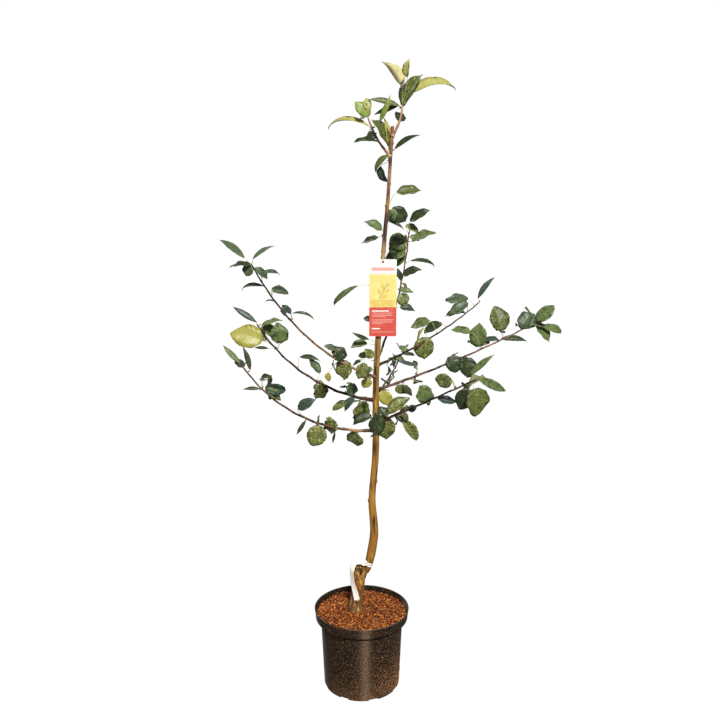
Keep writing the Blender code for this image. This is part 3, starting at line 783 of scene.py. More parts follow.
# The boughs: tapering limbs that leave the trunk in tiers and lift towards their tips, and
# two young shoots at the top. Each is one tube, flared at its collar, with a slight kink and
# a swelling at every bud. direction is the compass in degrees from +X, and pitch and lift are
# its rise at the trunk and what it gains by the tip.
Bough = namedtuple("Bough", "height direction pitch lift length base tip")
BOUGHS = {
    "bough_low_left": Bough(0.783, 198, 0.6, 57.8, 0.455, 0.0105, 0.0040),
    "bough_mid_left": Bough(0.871, 157, 0.0, 54.8, 0.447, 0.0100, 0.0048),
    "bough_high_left": Bough(0.937, 220, 20.1, 39.2, 0.531, 0.0090, 0.0038),
    "bough_low_right": Bough(0.805, 318, 26.3, 2.3, 0.379, 0.0090, 0.0040),
    "bough_mid_right": Bough(0.900, 12, 15.7, 9.5, 0.496, 0.0090, 0.0038),
    "bough_high_right": Bough(0.970, 48, 7.8, 14.3, 0.527, 0.0085, 0.0036),
    "bough_upright": Bough(0.985, 60, 43.7, 35.5, 0.411, 0.0080, 0.0036),
    "bough_back": Bough(0.885, 67, 12, 20, 0.235, 0.0065, 0.0036),
    "bough_front": Bough(0.835, 275, 8, 12, 0.115, 0.0060, 0.0036),
    "shoot_left": Bough(1.540, 185, 45, 28, 0.120, 0.0078, 0.0048),
    "shoot_right": Bough(1.592, 10, 55, 30, 0.083, 0.0082, 0.0055),
}
BOUGH_TAPER = 0.55
BOUGH_STEP = 0.0025
BOUGH_SIDES = 16
BUD_SPACING = 0.032
KINK = 0.0014


def bough_route(bough, step=BOUGH_STEP):
    """Centre points of a bough from the trunk's axis, each step pitched up a little more."""
    steps = round(bough.length / step)
    shares = (np.arange(steps) + 0.5) / steps
    pitches = np.radians(bough.pitch + bough.lift * shares)
    outward = np.append(0, np.cumsum(np.cos(pitches))) * bough.length / steps
    upward = np.append(0, np.cumsum(np.sin(pitches))) * bough.length / steps
    direction = math.radians(bough.direction)
    aim = np.array([math.cos(direction), math.sin(direction), 0])
    return stem_at(bough.height, STEM)[0][0] + outward[:, None] * aim + upward[:, None] * (0, 0, 1)


def bough_radius(bough, shares):
    """A bough's radius, which falls fast at first and then slowly."""
    return (bough.base + (bough.tip - bough.base) * np.asarray(shares) ** BOUGH_TAPER) / 2


def bough_tube(bough, seed):
    """A bough's skin: its route kinked to and fro from bud to bud, with a knuckle at each.

    The kink is a triangle wave that starts clear of the trunk, each knuckle is a bell curve
    along the bough, and the collar swells towards the trunk's skin as an exponential.
    """
    route = bough_route(bough)
    shares = np.linspace(0, 1, len(route))
    along = shares * bough.length
    turns = along / BUD_SPACING
    zigzag = 2 * np.abs(turns % 2 - 1) - 1
    direction = math.radians(bough.direction)
    lateral = np.array([-math.sin(direction), math.cos(direction), 0])
    reach = np.minimum(1, along / 0.05)[:, None]
    route = route + KINK * reach * (zigzag[:, None] * lateral + 0.6 * np.roll(zigzag, 9)[:, None] * (0, 0, 1))
    knuckle = np.exp(-(((turns + 0.5) % 1 - 0.5) * BUD_SPACING / 0.0028) ** 2)
    trunk_radius = stem_at(bough.height, STEM)[1][0]
    collar = np.exp(-np.maximum(along - trunk_radius, 0) / 0.007)
    angles = 2 * np.pi * np.arange(BOUGH_SIDES) / BOUGH_SIDES
    skin_noise = value_noise(
        route[:, None] + 0.002 * np.stack([np.cos(angles), np.sin(angles), 0 * angles], -1), 0.0024, seed
    )
    radii = bough_radius(bough, shares)[:, None] * (
        1 + 0.07 * skin_noise + 0.20 * knuckle[:, None] + 0.55 * collar[:, None]
    )
    radii[-2:] *= [[0.86], [0.5]]
    return tube(route, radii, BOUGH_SIDES, lateral)


Bark = namedtuple("Bark", "colour dark dark_above pale pale_above zones", defaults=((),))
BARKS = {
    "dark": Bark((0.080, 0.034, 0.020), (0.014, 0.008, 0.007), 0.42, (0.300, 0.160, 0.070), 0.60),
    "brown": Bark((0.130, 0.062, 0.032), (0.018, 0.010, 0.008), 0.48, (0.340, 0.190, 0.090), 0.58),
    "tan": Bark(
        (0.260, 0.140, 0.070), (0.030, 0.015, 0.012), 0.55, (0.450, 0.280, 0.140), 0.54,
        ((1.06, (0.260, 0.140, 0.070)), (1.12, (0.055, 0.026, 0.020))),
    ),
    "shoot": Bark((0.400, 0.235, 0.135), (0.220, 0.095, 0.070), 0.50, (0.560, 0.440, 0.280), 0.55),
}
LENTICELS = (0.440, 0.290, 0.160)
BARK_KINDS = {
    "bough_low_left": "brown", "bough_mid_left": "dark", "bough_high_left": "tan",
    "bough_low_right": "dark", "bough_mid_right": "brown", "bough_high_right": "dark",
    "bough_upright": "brown", "bough_back": "dark", "bough_front": "brown",
    "shoot_left": "shoot", "shoot_right": "shoot",
}
bough_barks = {}
for kind, bark in BARKS.items():
    bough_barks[kind] = textured(
        f"{kind}_twig_bark",
        bark.colour,
        [
            Patches(bark.dark, 0.020, bark.dark_above, contrast=7.0),
            Patches(bark.pale, 0.050, bark.pale_above, contrast=7.0),
            Patches(LENTICELS, 0.0014, above=0.67, contrast=16.0),
        ],
        roughness=(0.50, 0.66),
        grain_size=0.0009,
        grain_depth=0.0002,
        gloss=0.2,
        zones=bark.zones,
    )
for number, (name, bough) in enumerate(BOUGHS.items()):
    bark = bough_barks[BARK_KINDS[name]]
    limb = add_piece(f"{name}_bark", *bough_tube(bough, 60 + number), [bark], slot="twig_bark")
    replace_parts(limb, name)

# The leaves: leathery, finely toothed blades with six or seven pairs of side veins, dark and
# glossy above and paler and downy below, on thin pale stalks. Some lie flat, some fold, arch
# or crumple. They grow in sprays from short spurs, and each spray has its own tint. The
# bluish tint is dark green with a painted reflection of the sky laid into its colour.
BLADE_THICKNESS = 0.0004
MIDRIB_WIDTH = 0.0013
VEIN_SLANT = 0.20
FIRST_VEIN = 0.10
LAST_VEIN = 0.86
TOOTH = 0.018
LOPSIDED = 0.07
STALK_RADIUS = 0.00062
Habit = namedtuple("Habit", "breadth turn fold curl hook wave quilt point pairs")
HABITS = {
    "flat": Habit(0.78, 12, 10, 0.30, 0.2, 0.036, 0.020, 0.64, 7),
    "round": Habit(1.00, 12, 10, 0.35, 0.4, 0.045, 0.026, 0.56, 7),
    "half": Habit(0.60, 42, 22, 0.45, 0.3, 0.042, 0.020, 0.72, 6),
    "edge": Habit(0.56, 66, 22, 0.40, 0.3, 0.045, 0.016, 0.76, 6),
    "arched": Habit(0.42, 48, 26, 1.05, 0.5, 0.026, 0.012, 0.84, 6),
    "hooked": Habit(0.24, 50, 30, 1.15, 0.6, 0.020, 0.010, 0.84, 4),
    "folded": Habit(0.72, 28, 42, 0.40, 0.4, 0.042, 0.022, 0.70, 6),
    "slim": Habit(0.26, 28, 24, 0.30, 0.2, 0.018, 0.010, 0.92, 4),
    "crumpled": Habit(1.00, 24, 16, 0.60, 0.9, 0.095, 0.046, 0.60, 6),
    "under": Habit(0.44, 145, 30, 0.40, 0.4, 0.024, 0.010, 0.80, 5),
}
LEAF_COLOURS = {
    "green": (0.085, 0.122, 0.034),
    "deep": (0.018, 0.029, 0.008),
    # Dark green with a bluish cast that is a painted reflection of the sky.
    "sea_sheen": (0.026, 0.046, 0.032),
    "sage": (0.056, 0.088, 0.040),
    "drab": (0.062, 0.080, 0.016),
    "moss": (0.080, 0.096, 0.020),
    "lime": (0.170, 0.240, 0.036),
    "lemon": (0.300, 0.275, 0.048),
    "shoot": (0.360, 0.340, 0.090),
    "deep_vein": (0.052, 0.074, 0.028),
    "green_vein": (0.160, 0.200, 0.072),
    "sage_vein": (0.115, 0.150, 0.072),
    "pale_vein": (0.270, 0.280, 0.090),
    "lemon_vein": (0.380, 0.345, 0.085),
    "downy": (0.215, 0.240, 0.115),
    "pale_down": (0.560, 0.500, 0.230),
}
LEAF_LAYERS = {
    "green": (Patches((0.170, 0.210, 0.072), 0.010, 0.53, 6), Patches((0.026, 0.042, 0.011), 0.014, 0.54, 8),
              Network((0.190, 0.225, 0.085), 0.0024, 0.08, 0.5)),
    "deep": (Patches((0.050, 0.072, 0.022), 0.011, 0.54, 7), Network((0.055, 0.078, 0.028), 0.0024, 0.08, 0.5)),
    # Patches and veins of the bluish tint, which also carry the painted reflection of the sky.
    "sea_sheen": (Patches((0.056, 0.094, 0.066), 0.011, 0.53, 7), Network((0.060, 0.096, 0.064), 0.0024, 0.08, 0.5)),
    "sage": (Patches((0.110, 0.140, 0.072), 0.011, 0.53, 6), Patches((0.022, 0.036, 0.014), 0.014, 0.54, 8),
             Network((0.120, 0.150, 0.080), 0.0024, 0.08, 0.5)),
    "drab": (Patches((0.020, 0.034, 0.008), 0.014, 0.50, 8), Patches((0.340, 0.330, 0.090), 0.0075, 0.56, 9),
             Network((0.290, 0.290, 0.090), 0.0027, 0.10, 0.55)),
    "moss": (Patches((0.026, 0.034, 0.007), 0.012, 0.53, 7), Patches((0.190, 0.200, 0.055), 0.010, 0.56, 7)),
    "lime": (Patches((0.330, 0.350, 0.080), 0.012, 0.55, 6), Patches((0.080, 0.120, 0.020), 0.014, 0.56, 6)),
    "lemon": (Patches((0.245, 0.235, 0.042), 0.014, 0.50, 4), Network((0.440, 0.400, 0.105), 0.0026, 0.08, 0.5)),
    "shoot": (Patches((0.210, 0.215, 0.046), 0.014, 0.52, 5), Network((0.440, 0.410, 0.130), 0.0026, 0.08, 0.5)),
}
Tint = namedtuple("Tint", "blade vein under vein_width")
TINTS = {
    "mid": Tint("green", "green_vein", "downy", 0.008),
    "sage": Tint("sage", "sage_vein", "downy", 0.008),
    "dark": Tint("deep", "deep_vein", "downy", 0.008),
    # The bluish tint: its blade colour holds a painted reflection of the sky on dark leaves.
    "blue": Tint("sea_sheen", "deep_vein", "downy", 0.008),
    "olive": Tint("drab", "pale_vein", "downy", 0.010),
    "moss": Tint("moss", "green_vein", "downy", 0.007),
    "lime": Tint("lime", "lemon_vein", "pale_down", 0.006),
    "yellow": Tint("lemon", "lemon_vein", "pale_down", 0.007),
    "young": Tint("shoot", "lemon_vein", "pale_down", 0.006),
}


def closed_sheet(upper, lower):
    """A thin sheet between two grids of points, with a rim all round it.

    Each quad is split along the same diagonal above and below, so a warped sheet never
    shows its underside through.
    """
    rows, columns = upper.shape[:2]
    count = rows * columns
    quads = grid_faces(rows, columns, wrap=False)[:, ::-1]
    halves = np.stack([quads[:, :3], quads[:, [0, 2, 3]]], axis=1).reshape(-1, 3)
    index = np.arange(count).reshape(rows, columns)
    edge = np.concatenate([index[:, 0], index[-1, 1:], index[-2::-1, -1], index[0, -2:0:-1]])
    after = np.roll(edge, -1)
    rim = np.column_stack([edge, edge + count, after + count, after])
    points = np.concatenate([upper.reshape(-1, 3), lower.reshape(-1, 3)])
    return points, [*halves, *(halves[:, ::-1] + count), *rim]


def leaf(base, ahead, face, seen_length, habit, vein_width, rng):
    """One leaf: its points, its faces, and 0 for each face of the blade, 1 for a vein, 2 below.

    The blade is a grid whose lines follow the side veins: three lines to each pair, two that
    bound the vein, which narrows to the margin, and one on the crest between two veins. Its
    outline is a power of a sine, and the power grows along the leaf, so the foot is round and
    the tip sharp. The midrib bends down along the leaf, most at the tip, the halves fold up
    from it, one is wider than the other, their edges wave, and every vein ends in a tooth. The
    leaf is as much longer than it looks from the front as its bend foreshortens it.
    """
    ahead = unit(ahead)
    face = unit(face - ahead * (face @ ahead))
    side = np.cross(face, ahead)
    fine_t = np.linspace(0, 1, 101)
    bend = habit.curl * fine_t**1.3 + habit.hook * np.clip((fine_t - 0.7) / 0.3, 0, 1) ** 2
    forward = np.append(0, np.cumsum(np.cos(bend[:-1]))) / 100
    down = np.append(0, np.cumsum(np.sin(bend[:-1]))) / 100
    length = seen_length / math.hypot(forward[-1], down[-1] * math.sin(math.radians(habit.turn)))
    width = seen_length * habit.breadth * rng.uniform(0.95, 1.08)
    veins = np.linspace(FIRST_VEIN, LAST_VEIN, habit.pairs)
    crest = veins + (LAST_VEIN - FIRST_VEIN) / (habit.pairs - 1) / 2
    lines = np.concatenate([[0], np.column_stack([veins, veins, crest]).ravel(), [1]])[:, None]
    kinds = np.concatenate([[0], np.tile([-1, 1, 0], habit.pairs), [0]])[:, None]
    crests = np.concatenate([[0], np.tile([0, 0, 1], habit.pairs), [0]])[:, None]
    q = np.array([1, 0.52, 0, 0, 0.52, 1])[None]
    sign = np.array([-1, -1, -1, 1, 1, 1])[None]
    t = lines + VEIN_SLANT * q * 4 * lines * (1 - lines) + kinds * vein_width * (1 - 0.6 * q)
    sharper = habit.point * (0.72 + 0.66 * t)
    half = width / 2 * np.sin(np.pi * np.clip(t, 0.012, 0.988) ** 0.84) ** sharper
    half = half * (1 + sign * rng.normal(0, LOPSIDED))
    rib = np.minimum(MIDRIB_WIDTH / 2 * (1.15 - t), 0.4 * half)
    out = (rib + (half - rib) * q) * (1 + TOOTH * kinds * (q > 0.9) * (lines > 0.05))
    fold = math.radians(habit.fold) * rng.uniform(0.8, 1.2)
    wave = habit.wave * width * q**2 * np.sin(2 * np.pi * 2.3 * t + rng.uniform(0, 6.3) + sign)
    quilt = habit.quilt * width * crests * np.sin(np.pi * np.minimum(q / 0.98, 1)) * np.sin(np.pi * t) ** 0.5
    rise = out * math.sin(fold) + wave + quilt
    along, drop, angle = (np.interp(t, fine_t, row) for row in (forward * length, down * length, bend))
    sway = math.radians(rng.normal(0, 9)) * t**2
    normal = np.sin(angle)[..., None] * ahead + np.cos(angle)[..., None] * face
    middle = base + along[..., None] * ahead - drop[..., None] * face + (along * np.sin(sway))[..., None] * side
    top = middle + (sign * out * math.cos(fold))[..., None] * side + rise[..., None] * normal
    points, faces = closed_sheet(top, top - BLADE_THICKNESS * normal)
    strips, columns = len(lines) - 1, 5
    strip = np.arange(strips * columns) // columns
    column = np.arange(strips * columns) % columns
    veined = (column == 2) | ((strip % 3 == 1) & (strip < 3 * habit.pairs))
    above = np.repeat(veined.astype(int), 2)
    return points, faces, np.concatenate([above, np.full(len(faces) - len(above), 2)])


def clock_vector(clock, lean):
    """A direction in the front view, in radians from the right, leaning away by an angle."""
    return np.array([math.cos(clock) * math.cos(lean), math.sin(lean), math.sin(clock) * math.cos(lean)])


def turned_face(ahead, turn, rng):
    """Where a leaf's upper side looks: at the viewer, rolled about the midrib and upwards."""
    viewer = np.array([0, -1, 0]) - ahead * -ahead[1]
    viewer = unit(viewer) if np.linalg.norm(viewer) > 0.2 else unit(np.cross(ahead, (0, 1, 0.1)))
    upward = np.cross(ahead, viewer)
    if abs(upward[2]) < 0.25:
        upward = upward * rng.choice([-1, 1])
    elif upward[2] < 0:
        upward = -upward
    return math.cos(turn) * viewer + math.sin(turn) * upward


def stalk(foot, leaving, base, arriving, radius):
    """A thin stalk that leaves its spur one way and meets the blade another: a Bezier curve."""
    t = np.linspace(0, 1, 8)[:, None]
    reach = np.linalg.norm(base - foot)
    inner, outer = foot + leaving * reach * 0.45, base - arriving * reach * 0.30
    line = (1 - t) ** 3 * foot + 3 * t * (1 - t) ** 2 * inner + 3 * t**2 * (1 - t) * outer + t**3 * base
    aside = unit(np.cross(leaving + arriving, (0.31, 0.22, 0.93)))
    return tube(line, radius * (1.45 - 0.55 * t[:, 0]), 6, aside)


def spur(place, ahead, length, radius):
    """A short ringed spur that ends in a pointed bud: a spindle of eight rings."""
    along = np.array([0, 0.18, 0.30, 0.45, 0.58, 0.72, 0.88, 1.0])[:, None]
    across = np.array([1.0, 1.15, 0.92, 1.12, 0.86, 1.05, 0.62, 0.10])
    line = place + along * length * ahead
    return tube(line, radius * across, 7, unit(np.cross(ahead, (0.3, 0.9, 0.2))))


# Sprays by bough: the share of the way along it, the stalk's length and the way it leaves, the
# blade's direction and length, and its habit and tint. Lengths are in millimetres, and
# directions in degrees on the front view, from the right. Some have a lean away from the
# viewer in radians, which is left to chance elsewhere, and more leaves than one, in a fan.
Spray = namedtuple(
    "Spray", "share stalk leaves_at clock blade habit tint lean leaves fan", defaults=(None, 1, 0)
)
SPRAYS = {
    "bough_low_left": (
        (1.00, 2, 136, 136, 68, "slim", "mid"), (0.94, 8, 38, 100, 65, "slim", "dark"),
        (0.97, 1, 125, 125, 27, "flat", "blue"), (1.00, 2, 178, 178, 19, "flat", "blue", None, 2, 26),
        (0.80, 28, 91, 20, 29, "folded", "dark"), (0.80, 3, 175, 175, 46, "slim", "dark"),
        (0.77, 13, 98, 340, 57, "folded", "blue"), (0.77, 8, 81, 328, 49, "half", "olive"),
        (0.505, 23, 105, 30, 52, "half", "blue"), (0.46, 2, 237, 237, 47, "slim", "dark"),
        (0.38, 3, 260, 260, 58, "round", "olive"), (0.29, 21, 88, 262, 44, "crumpled", "olive"),
        (0.27, 8, 265, 255, 37, "slim", "dark"), (0.13, 3, 238, 270, 49, "round", "olive"),
    ),
    "bough_mid_left": (
        (1.00, 2, 117, 149, 83, "slim", "blue"), (0.98, 9, 28, 320, 64, "half", "mid"),
        (0.81, 34, 154, 160, 93, "flat", "yellow"), (0.78, 21, 56, 88, 52, "crumpled", "mid"),
        (0.78, 20, 175, 172, 42, "slim", "dark"), (0.58, 34, 80, 8, 58, "slim", "dark"),
        (0.43, 22, 67, 127, 52, "half", "sage"), (0.40, 4, 342, 265, 42, "crumpled", "olive"),
        (0.42, 3, 250, 250, 20, "flat", "olive"), (0.22, 16, 60, 172, 26, "edge", "dark"),
        (0.17, 36, 88, 262, 33, "crumpled", "sage"), (0.12, 9, 188, 215, 45, "half", "blue"),
        (0.09, 4, 265, 265, 54, "crumpled", "olive"), (0.06, 4, 250, 250, 40, "folded", "dark"),
        (0.06, 47, 285, 192, 54, "half", "dark"), (0.15, 21, 211, 215, 49, "half", "olive"),
        (0.95, 3, 81, 27, 66, "edge", "mid"),
    ),
    "bough_high_left": (
        (1.00, 24, 138, 138, 79, "slim", "sage"), (1.00, 13, 79, 44, 57, "slim", "sage"),
        (1.00, 2, 180, 180, 51, "edge", "dark"), (0.97, 16, 136, 255, 26, "round", "sage"),
        (0.96, 8, 103, 322, 40, "half", "sage"), (0.90, 19, 91, 15, 43, "arched", "sage"),
        (0.84, 20, 131, 170, 59, "hooked", "dark"), (0.81, 18, 92, 350, 41, "folded", "sage"),
        (0.76, 7, 108, 163, 31, "hooked", "blue"), (0.74, 1, 320, 320, 20, "flat", "blue"),
        (0.65, 16, 90, 125, 32, "half", "blue"), (0.65, 18, 76, 6, 52, "hooked", "dark"),
        (0.31, 20, 83, 148, 32, "half", "sage"), (0.28, 4, 1, 105, 39, "crumpled", "dark"),
        (0.24, 11, 22, 238, 47, "crumpled", "olive"), (0.28, 40, 230, 260, 25, "flat", "yellow"),
        (0.10, 24, 85, 262, 40, "crumpled", "olive"), (0.10, 28, 100, 198, 26, "half", "dark"),
        (0.06, 6, 262, 262, 32, "round", "yellow"),
    ),
    "bough_low_right": (
        (0.10, 4, 67, 275, 71, "flat", "olive"), (0.13, 3, 130, 130, 29, "crumpled", "dark"),
        (0.13, 10, 90, 43, 72, "half", "olive"), (0.18, 3, 8, 337, 47, "half", "blue"),
        (0.22, 23, 316, 305, 64, "folded", "olive"), (0.33, 1, 20, 20, 25, "flat", "blue"),
        (0.32, 3, 262, 262, 24, "flat", "olive"), (0.62, 4, 343, 343, 46, "half", "blue"),
        (0.80, 22, 110, 200, 42, "round", "olive"), (0.82, 30, 125, 230, 32, "edge", "mid"),
        (0.97, 18, 275, 285, 68, "round", "moss"), (0.92, 16, 288, 240, 61, "flat", "dark"),
        (1.00, 1, 34, 333, 101, "slim", "mid"),
    ),
    "bough_mid_right": (
        (0.03, 3, 295, 295, 48, "flat", "yellow"), (0.14, 4, 285, 285, 34, "round", "olive"),
        (0.16, 8, 280, 315, 40, "half", "dark"), (0.25, 23, 90, 130, 20, "flat", "dark"),
        (0.25, 27, 96, 166, 58, "slim", "blue"), (0.20, 40, 335, 275, 55, "crumpled", "mid"),
        (0.50, 19, 147, 290, 48, "round", "dark"), (0.55, 9, 350, 265, 56, "round", "dark"),
        (0.55, 53, 288, 52, 88, "slim", "mid"), (0.56, 6, 250, 250, 32, "flat", "dark"),
        (0.66, 8, 115, 97, 65, "flat", "mid"), (0.67, 53, 127, 170, 58, "edge", "mid"),
        (0.79, 3, 180, 180, 44, "half", "blue"), (0.81, 22, 100, 106, 71, "flat", "moss"),
        (0.83, 14, 197, 5, 74, "slim", "dark"), (0.92, 6, 60, 60, 52, "crumpled", "sage"),
        (1.00, 15, 50, 43, 64, "folded", "mid"), (0.99, 1, 5, 5, 40, "edge", "mid"),
        (1.00, 11, 339, 319, 62, "half", "mid"), (1.00, 25, 344, 351, 74, "arched", "mid"),
        (0.97, 20, 182, 5, 69, "slim", "dark"),
    ),
    "bough_high_right": (
        (1.00, 12, 111, 66, 88, "slim", "blue"), (0.95, 28, 140, 190, 84, "edge", "sage"),
        (0.86, 31, 90, 212, 72, "half", "sage"), (0.84, 1, 109, 178, 63, "edge", "dark"),
        (0.65, 17, 152, 203, 62, "half", "dark"), (0.55, 39, 123, 190, 63, "half", "mid"),
        (0.45, 34, 106, 240, 48, "edge", "young"), (0.42, 12, 70, 268, 66, "round", "olive"),
        (0.28, 3, 175, 175, 19, "flat", "mid"), (0.15, 3, 340, 340, 32, "half", "mid"),
        (0.15, 4, 215, 215, 25, "edge", "mid"), (0.20, 8, 5, 5, 35, "arched", "dark"),
    ),
    "bough_upright": (
        (1.00, 26, 85, 29, 63, "half", "dark"), (0.92, 10, 8, 29, 71, "edge", "mid"),
        (0.94, 4, 200, 200, 50, "round", "mid"), (0.92, 4, 160, 160, 41, "half", "dark"),
        (0.90, 4, 220, 220, 30, "arched", "dark"), (0.96, 3, 345, 345, 28, "half", "mid", None, 2, 14),
        (0.82, 23, 175, 190, 35, "round", "dark"), (0.88, 4, 205, 208, 60, "crumpled", "mid"),
        (0.84, 4, 232, 232, 44, "half", "mid"), (0.76, 17, 22, 4, 73, "hooked", "dark"),
        (0.68, 4, 296, 32, 53, "half", "dark"), (0.63, 2, 115, 115, 38, "half", "dark"),
        (0.62, 2, 310, 310, 26, "half", "mid"), (0.58, 5, 199, 350, 44, "half", "mid"),
        (0.52, 5, 43, 300, 36, "round", "olive"), (0.43, 11, 353, 8, 41, "half", "dark"),
        (0.97, 26, 110, 340, 43, "half", "olive"),
    ),
    "bough_back": (
        (1.00, 6, 60, 60, 56, "half", "mid", 1.25, 3, 120),
        (0.62, 8, 250, 250, 50, "half", "dark", 1.2, 2, 80),
        (0.80, 6, 150, 150, 50, "flat", "mid", 1.35, 2, 80),
        (0.40, 6, 280, 280, 46, "flat", "olive", 1.2, 2, 80),
    ),
    "bough_front": (
        (1.00, 4, 262, 262, 60, "half", "dark"), (0.60, 4, 246, 250, 46, "folded", "dark"),
    ),
    "shoot_left": (
        (0.28, 18, 137, 174, 62, "edge", "dark"), (0.60, 1, 352, 200, 25, "round", "dark"),
        (0.70, 13, 141, 154, 106, "hooked", "young"), (0.75, 24, 37, 58, 70, "slim", "lime", -0.3),
        (1.00, 1, 42, 134, 48, "flat", "lime"), (1.00, 16, 89, 102, 31, "flat", "young"),
    ),
    "shoot_right": (
        (0.50, 2, 80, 80, 34, "round", "dark", 0.6), (0.95, 8, 140, 164, 84, "slim", "moss"),
        (0.95, 11, 148, 198, 68, "slim", "dark"), (1.00, 2, 34, 68, 95, "half", "moss"),
        (1.00, 57, 91, 111, 80, "under", "young"), (1.00, 73, 81, 88, 42, "folded", "young"),
        (1.00, 40, 53, 30, 107, "arched", "young"),
    ),
}

# Sprays on the trunk itself, the same, with a height in place of the share.
TRUNK_SPRAYS = (
    (1.030, 22, 178, 182, 48, "half", "mid"), (1.035, 20, 158, 160, 52, "slim", "dark"),
    (1.015, 16, 205, 206, 36, "half", "dark"), (0.985, 6, 140, 140, 30, "flat", "olive"),
    (0.985, 30, 178, 180, 20, "slim", "young"), (0.955, 2, 170, 170, 19, "flat", "olive"),
    (1.190, 60, 177, 208, 93, "hooked", "mid"), (1.330, 12, 190, 192, 47, "edge", "dark"),
    (1.345, 5, 175, 142, 49, "half", "mid"), (1.370, 1, 5, 343, 46, "slim", "dark"),
    (1.400, 15, 5, 250, 40, "flat", "mid"), (1.400, 6, 7, 320, 50, "round", "dark"),
    (1.410, 39, 54, 7, 67, "half", "moss"), (1.538, 3, 123, 212, 54, "arched", "moss"),
    (1.530, 26, 210, 281, 46, "half", "blue"), (1.555, 7, 26, 38, 74, "slim", "dark"),
    (1.556, 9, 110, 112, 76, "half", "moss"), (1.556, 1, 152, 94, 84, "slim", "young"),
    (1.105, 16, 181, 182, 21, "flat", "dark"),
)

# Behind each broad leaf a spare one points away from the viewer, so that the crown is full
# from its sides too. Their sizes beside it, their habits and tints are dealt out by lot.
BROAD = 0.7
SPARE_SIZES = (0.8, 1.15)
SPARE_LEANS = (1.1, 1.4)
SPARE_TINTS = ("mid", "sage", "dark", "dark", "olive")
SPARE_HABITS = ("flat", "half", "folded", "round")


def grow_spray(place, radius, spray, rng):
    """Adds a spray to the leaves, stalks and spurs. Each leaf fans from the spray's direction.

    A stalk leaves the limb's skin, and its blade sets out from the stalk's end.
    """
    for number in range(spray.leaves):
        spread = spray.fan * (number / max(1, spray.leaves - 1) - 0.5)
        depth = rng.normal(0, 0.2) + 0.5 * (number % 2) if spray.lean is None else spray.lean
        ahead = clock_vector(math.radians(spray.clock + spread + rng.normal(0, 2)), depth)
        leaving = clock_vector(math.radians(spray.leaves_at + spread), depth * 0.7)
        foot = place + leaving * radius * 0.8
        base = foot + leaving * (radius * 0.2 + spray.stalk / 1000)
        habit = HABITS[spray.habit]
        face = turned_face(ahead, math.radians(habit.turn + rng.normal(0, 6)), rng)
        length = spray.blade / 1000 * rng.uniform(1.0, 1.07)
        blades[spray.tint].append(leaf(base, ahead, face, length, habit, TINTS[spray.tint].vein_width, rng))
        stalks.append(stalk(foot, leaving, base + ahead * 0.0015, ahead, STALK_RADIUS))
    out = unit(leaving + 0.5 * unit(rng.normal(0, 1, 3)))
    spurs.append(spur(place + out * radius * 0.6, out, rng.uniform(0.0045, 0.0085), 0.0013))


blades = {tint: [] for tint in TINTS}
stalks, spurs = [], []
for number, (name, sprays) in enumerate(SPRAYS.items()):
    bough = BOUGHS[name]
    route = bough_route(bough)
    for order, spray in enumerate(Spray(*row) for row in sprays):
        place = route[round(spray.share * (len(route) - 1))]
        radius = bough_radius(bough, spray.share)
        rng = np.random.default_rng(1000 * number + order)
        grow_spray(place, radius, spray, rng)
        if HABITS[spray.habit].breadth > BROAD:
            spare = spray._replace(
                blade=spray.blade * rng.uniform(*SPARE_SIZES), lean=rng.uniform(*SPARE_LEANS),
                habit=rng.choice(SPARE_HABITS), tint=rng.choice(SPARE_TINTS),
            )
            grow_spray(place, radius, spare, rng)
for order, spray in enumerate(Spray(*row) for row in TRUNK_SPRAYS):
    centres, radii = stem_at(spray.share, STEM)
    grow_spray(centres[0], radii[0], spray, np.random.default_rng(90000 + order))

leaf_skins = {}
for name, colour in LEAF_COLOURS.items():
    deeper = tuple(0.8 * part for part in colour)
    downy = "down" in name
    leaf_skins[name] = textured(
        f"leaf_{name}", colour, LEAF_LAYERS.get(name, [Patches(deeper, 0.006)]),
        (0.75, 0.85) if downy else (0.38, 0.50), 0.0012, 0.00020, gloss=0.15 if downy else 0.32,
    )
masses = [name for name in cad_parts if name.startswith("leaves_")]
for name, tint in TINTS.items():
    points, faces = joined([(made[0], made[1]) for made in blades[name]])
    kinds = np.concatenate([made[2] for made in blades[name]])
    skins = [leaf_skins[tint.blade], leaf_skins[tint.vein], leaf_skins[tint.under]]
    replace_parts(add_piece(f"leaves_{name}", points, faces, skins, kinds, slot="foliage"), *masses)

stalk_skin = textured(
    "stalk_skin", (0.420, 0.400, 0.150), [Patches((0.240, 0.250, 0.080), 0.010)], (0.5, 0.6), 0.001, 0.0001
)
add_piece("leaf_stalks", *joined(stalks), [stalk_skin], slot="foliage")
bud_scales = textured(
    "bud_scales", (0.120, 0.055, 0.030), [Patches((0.300, 0.190, 0.110), 0.002)], (0.5, 0.7), 0.0008, 0.0002
)
add_piece("spurs_and_buds", *joined(spurs), [bud_scales], slot="twig_bark")

# The hang tag: a printed plastic card on a thread. Its head is plain white with a red bar,
# its middle a pale yellow panel with a sprig, and its foot a red panel with plain rules. Each
# print is a layer a tenth of a millimetre thick on the card's face.
TAG_WIDTH = 0.075
TAG_HEIGHT = 0.212
TAG_THICKNESS = 0.0010
TAG_TOP = 1.268
TAG_RIGHT = 0.058
TAG_FRONT = -0.0145
TAG_CORNER = 0.003
TAG_HOLE_RADIUS = 0.0035
TAG_HOLE_DROP = 0.007
HEAD_HEIGHT = 0.041
PICTURE_HEIGHT = 0.090
PRINT_LAYER = 0.0001

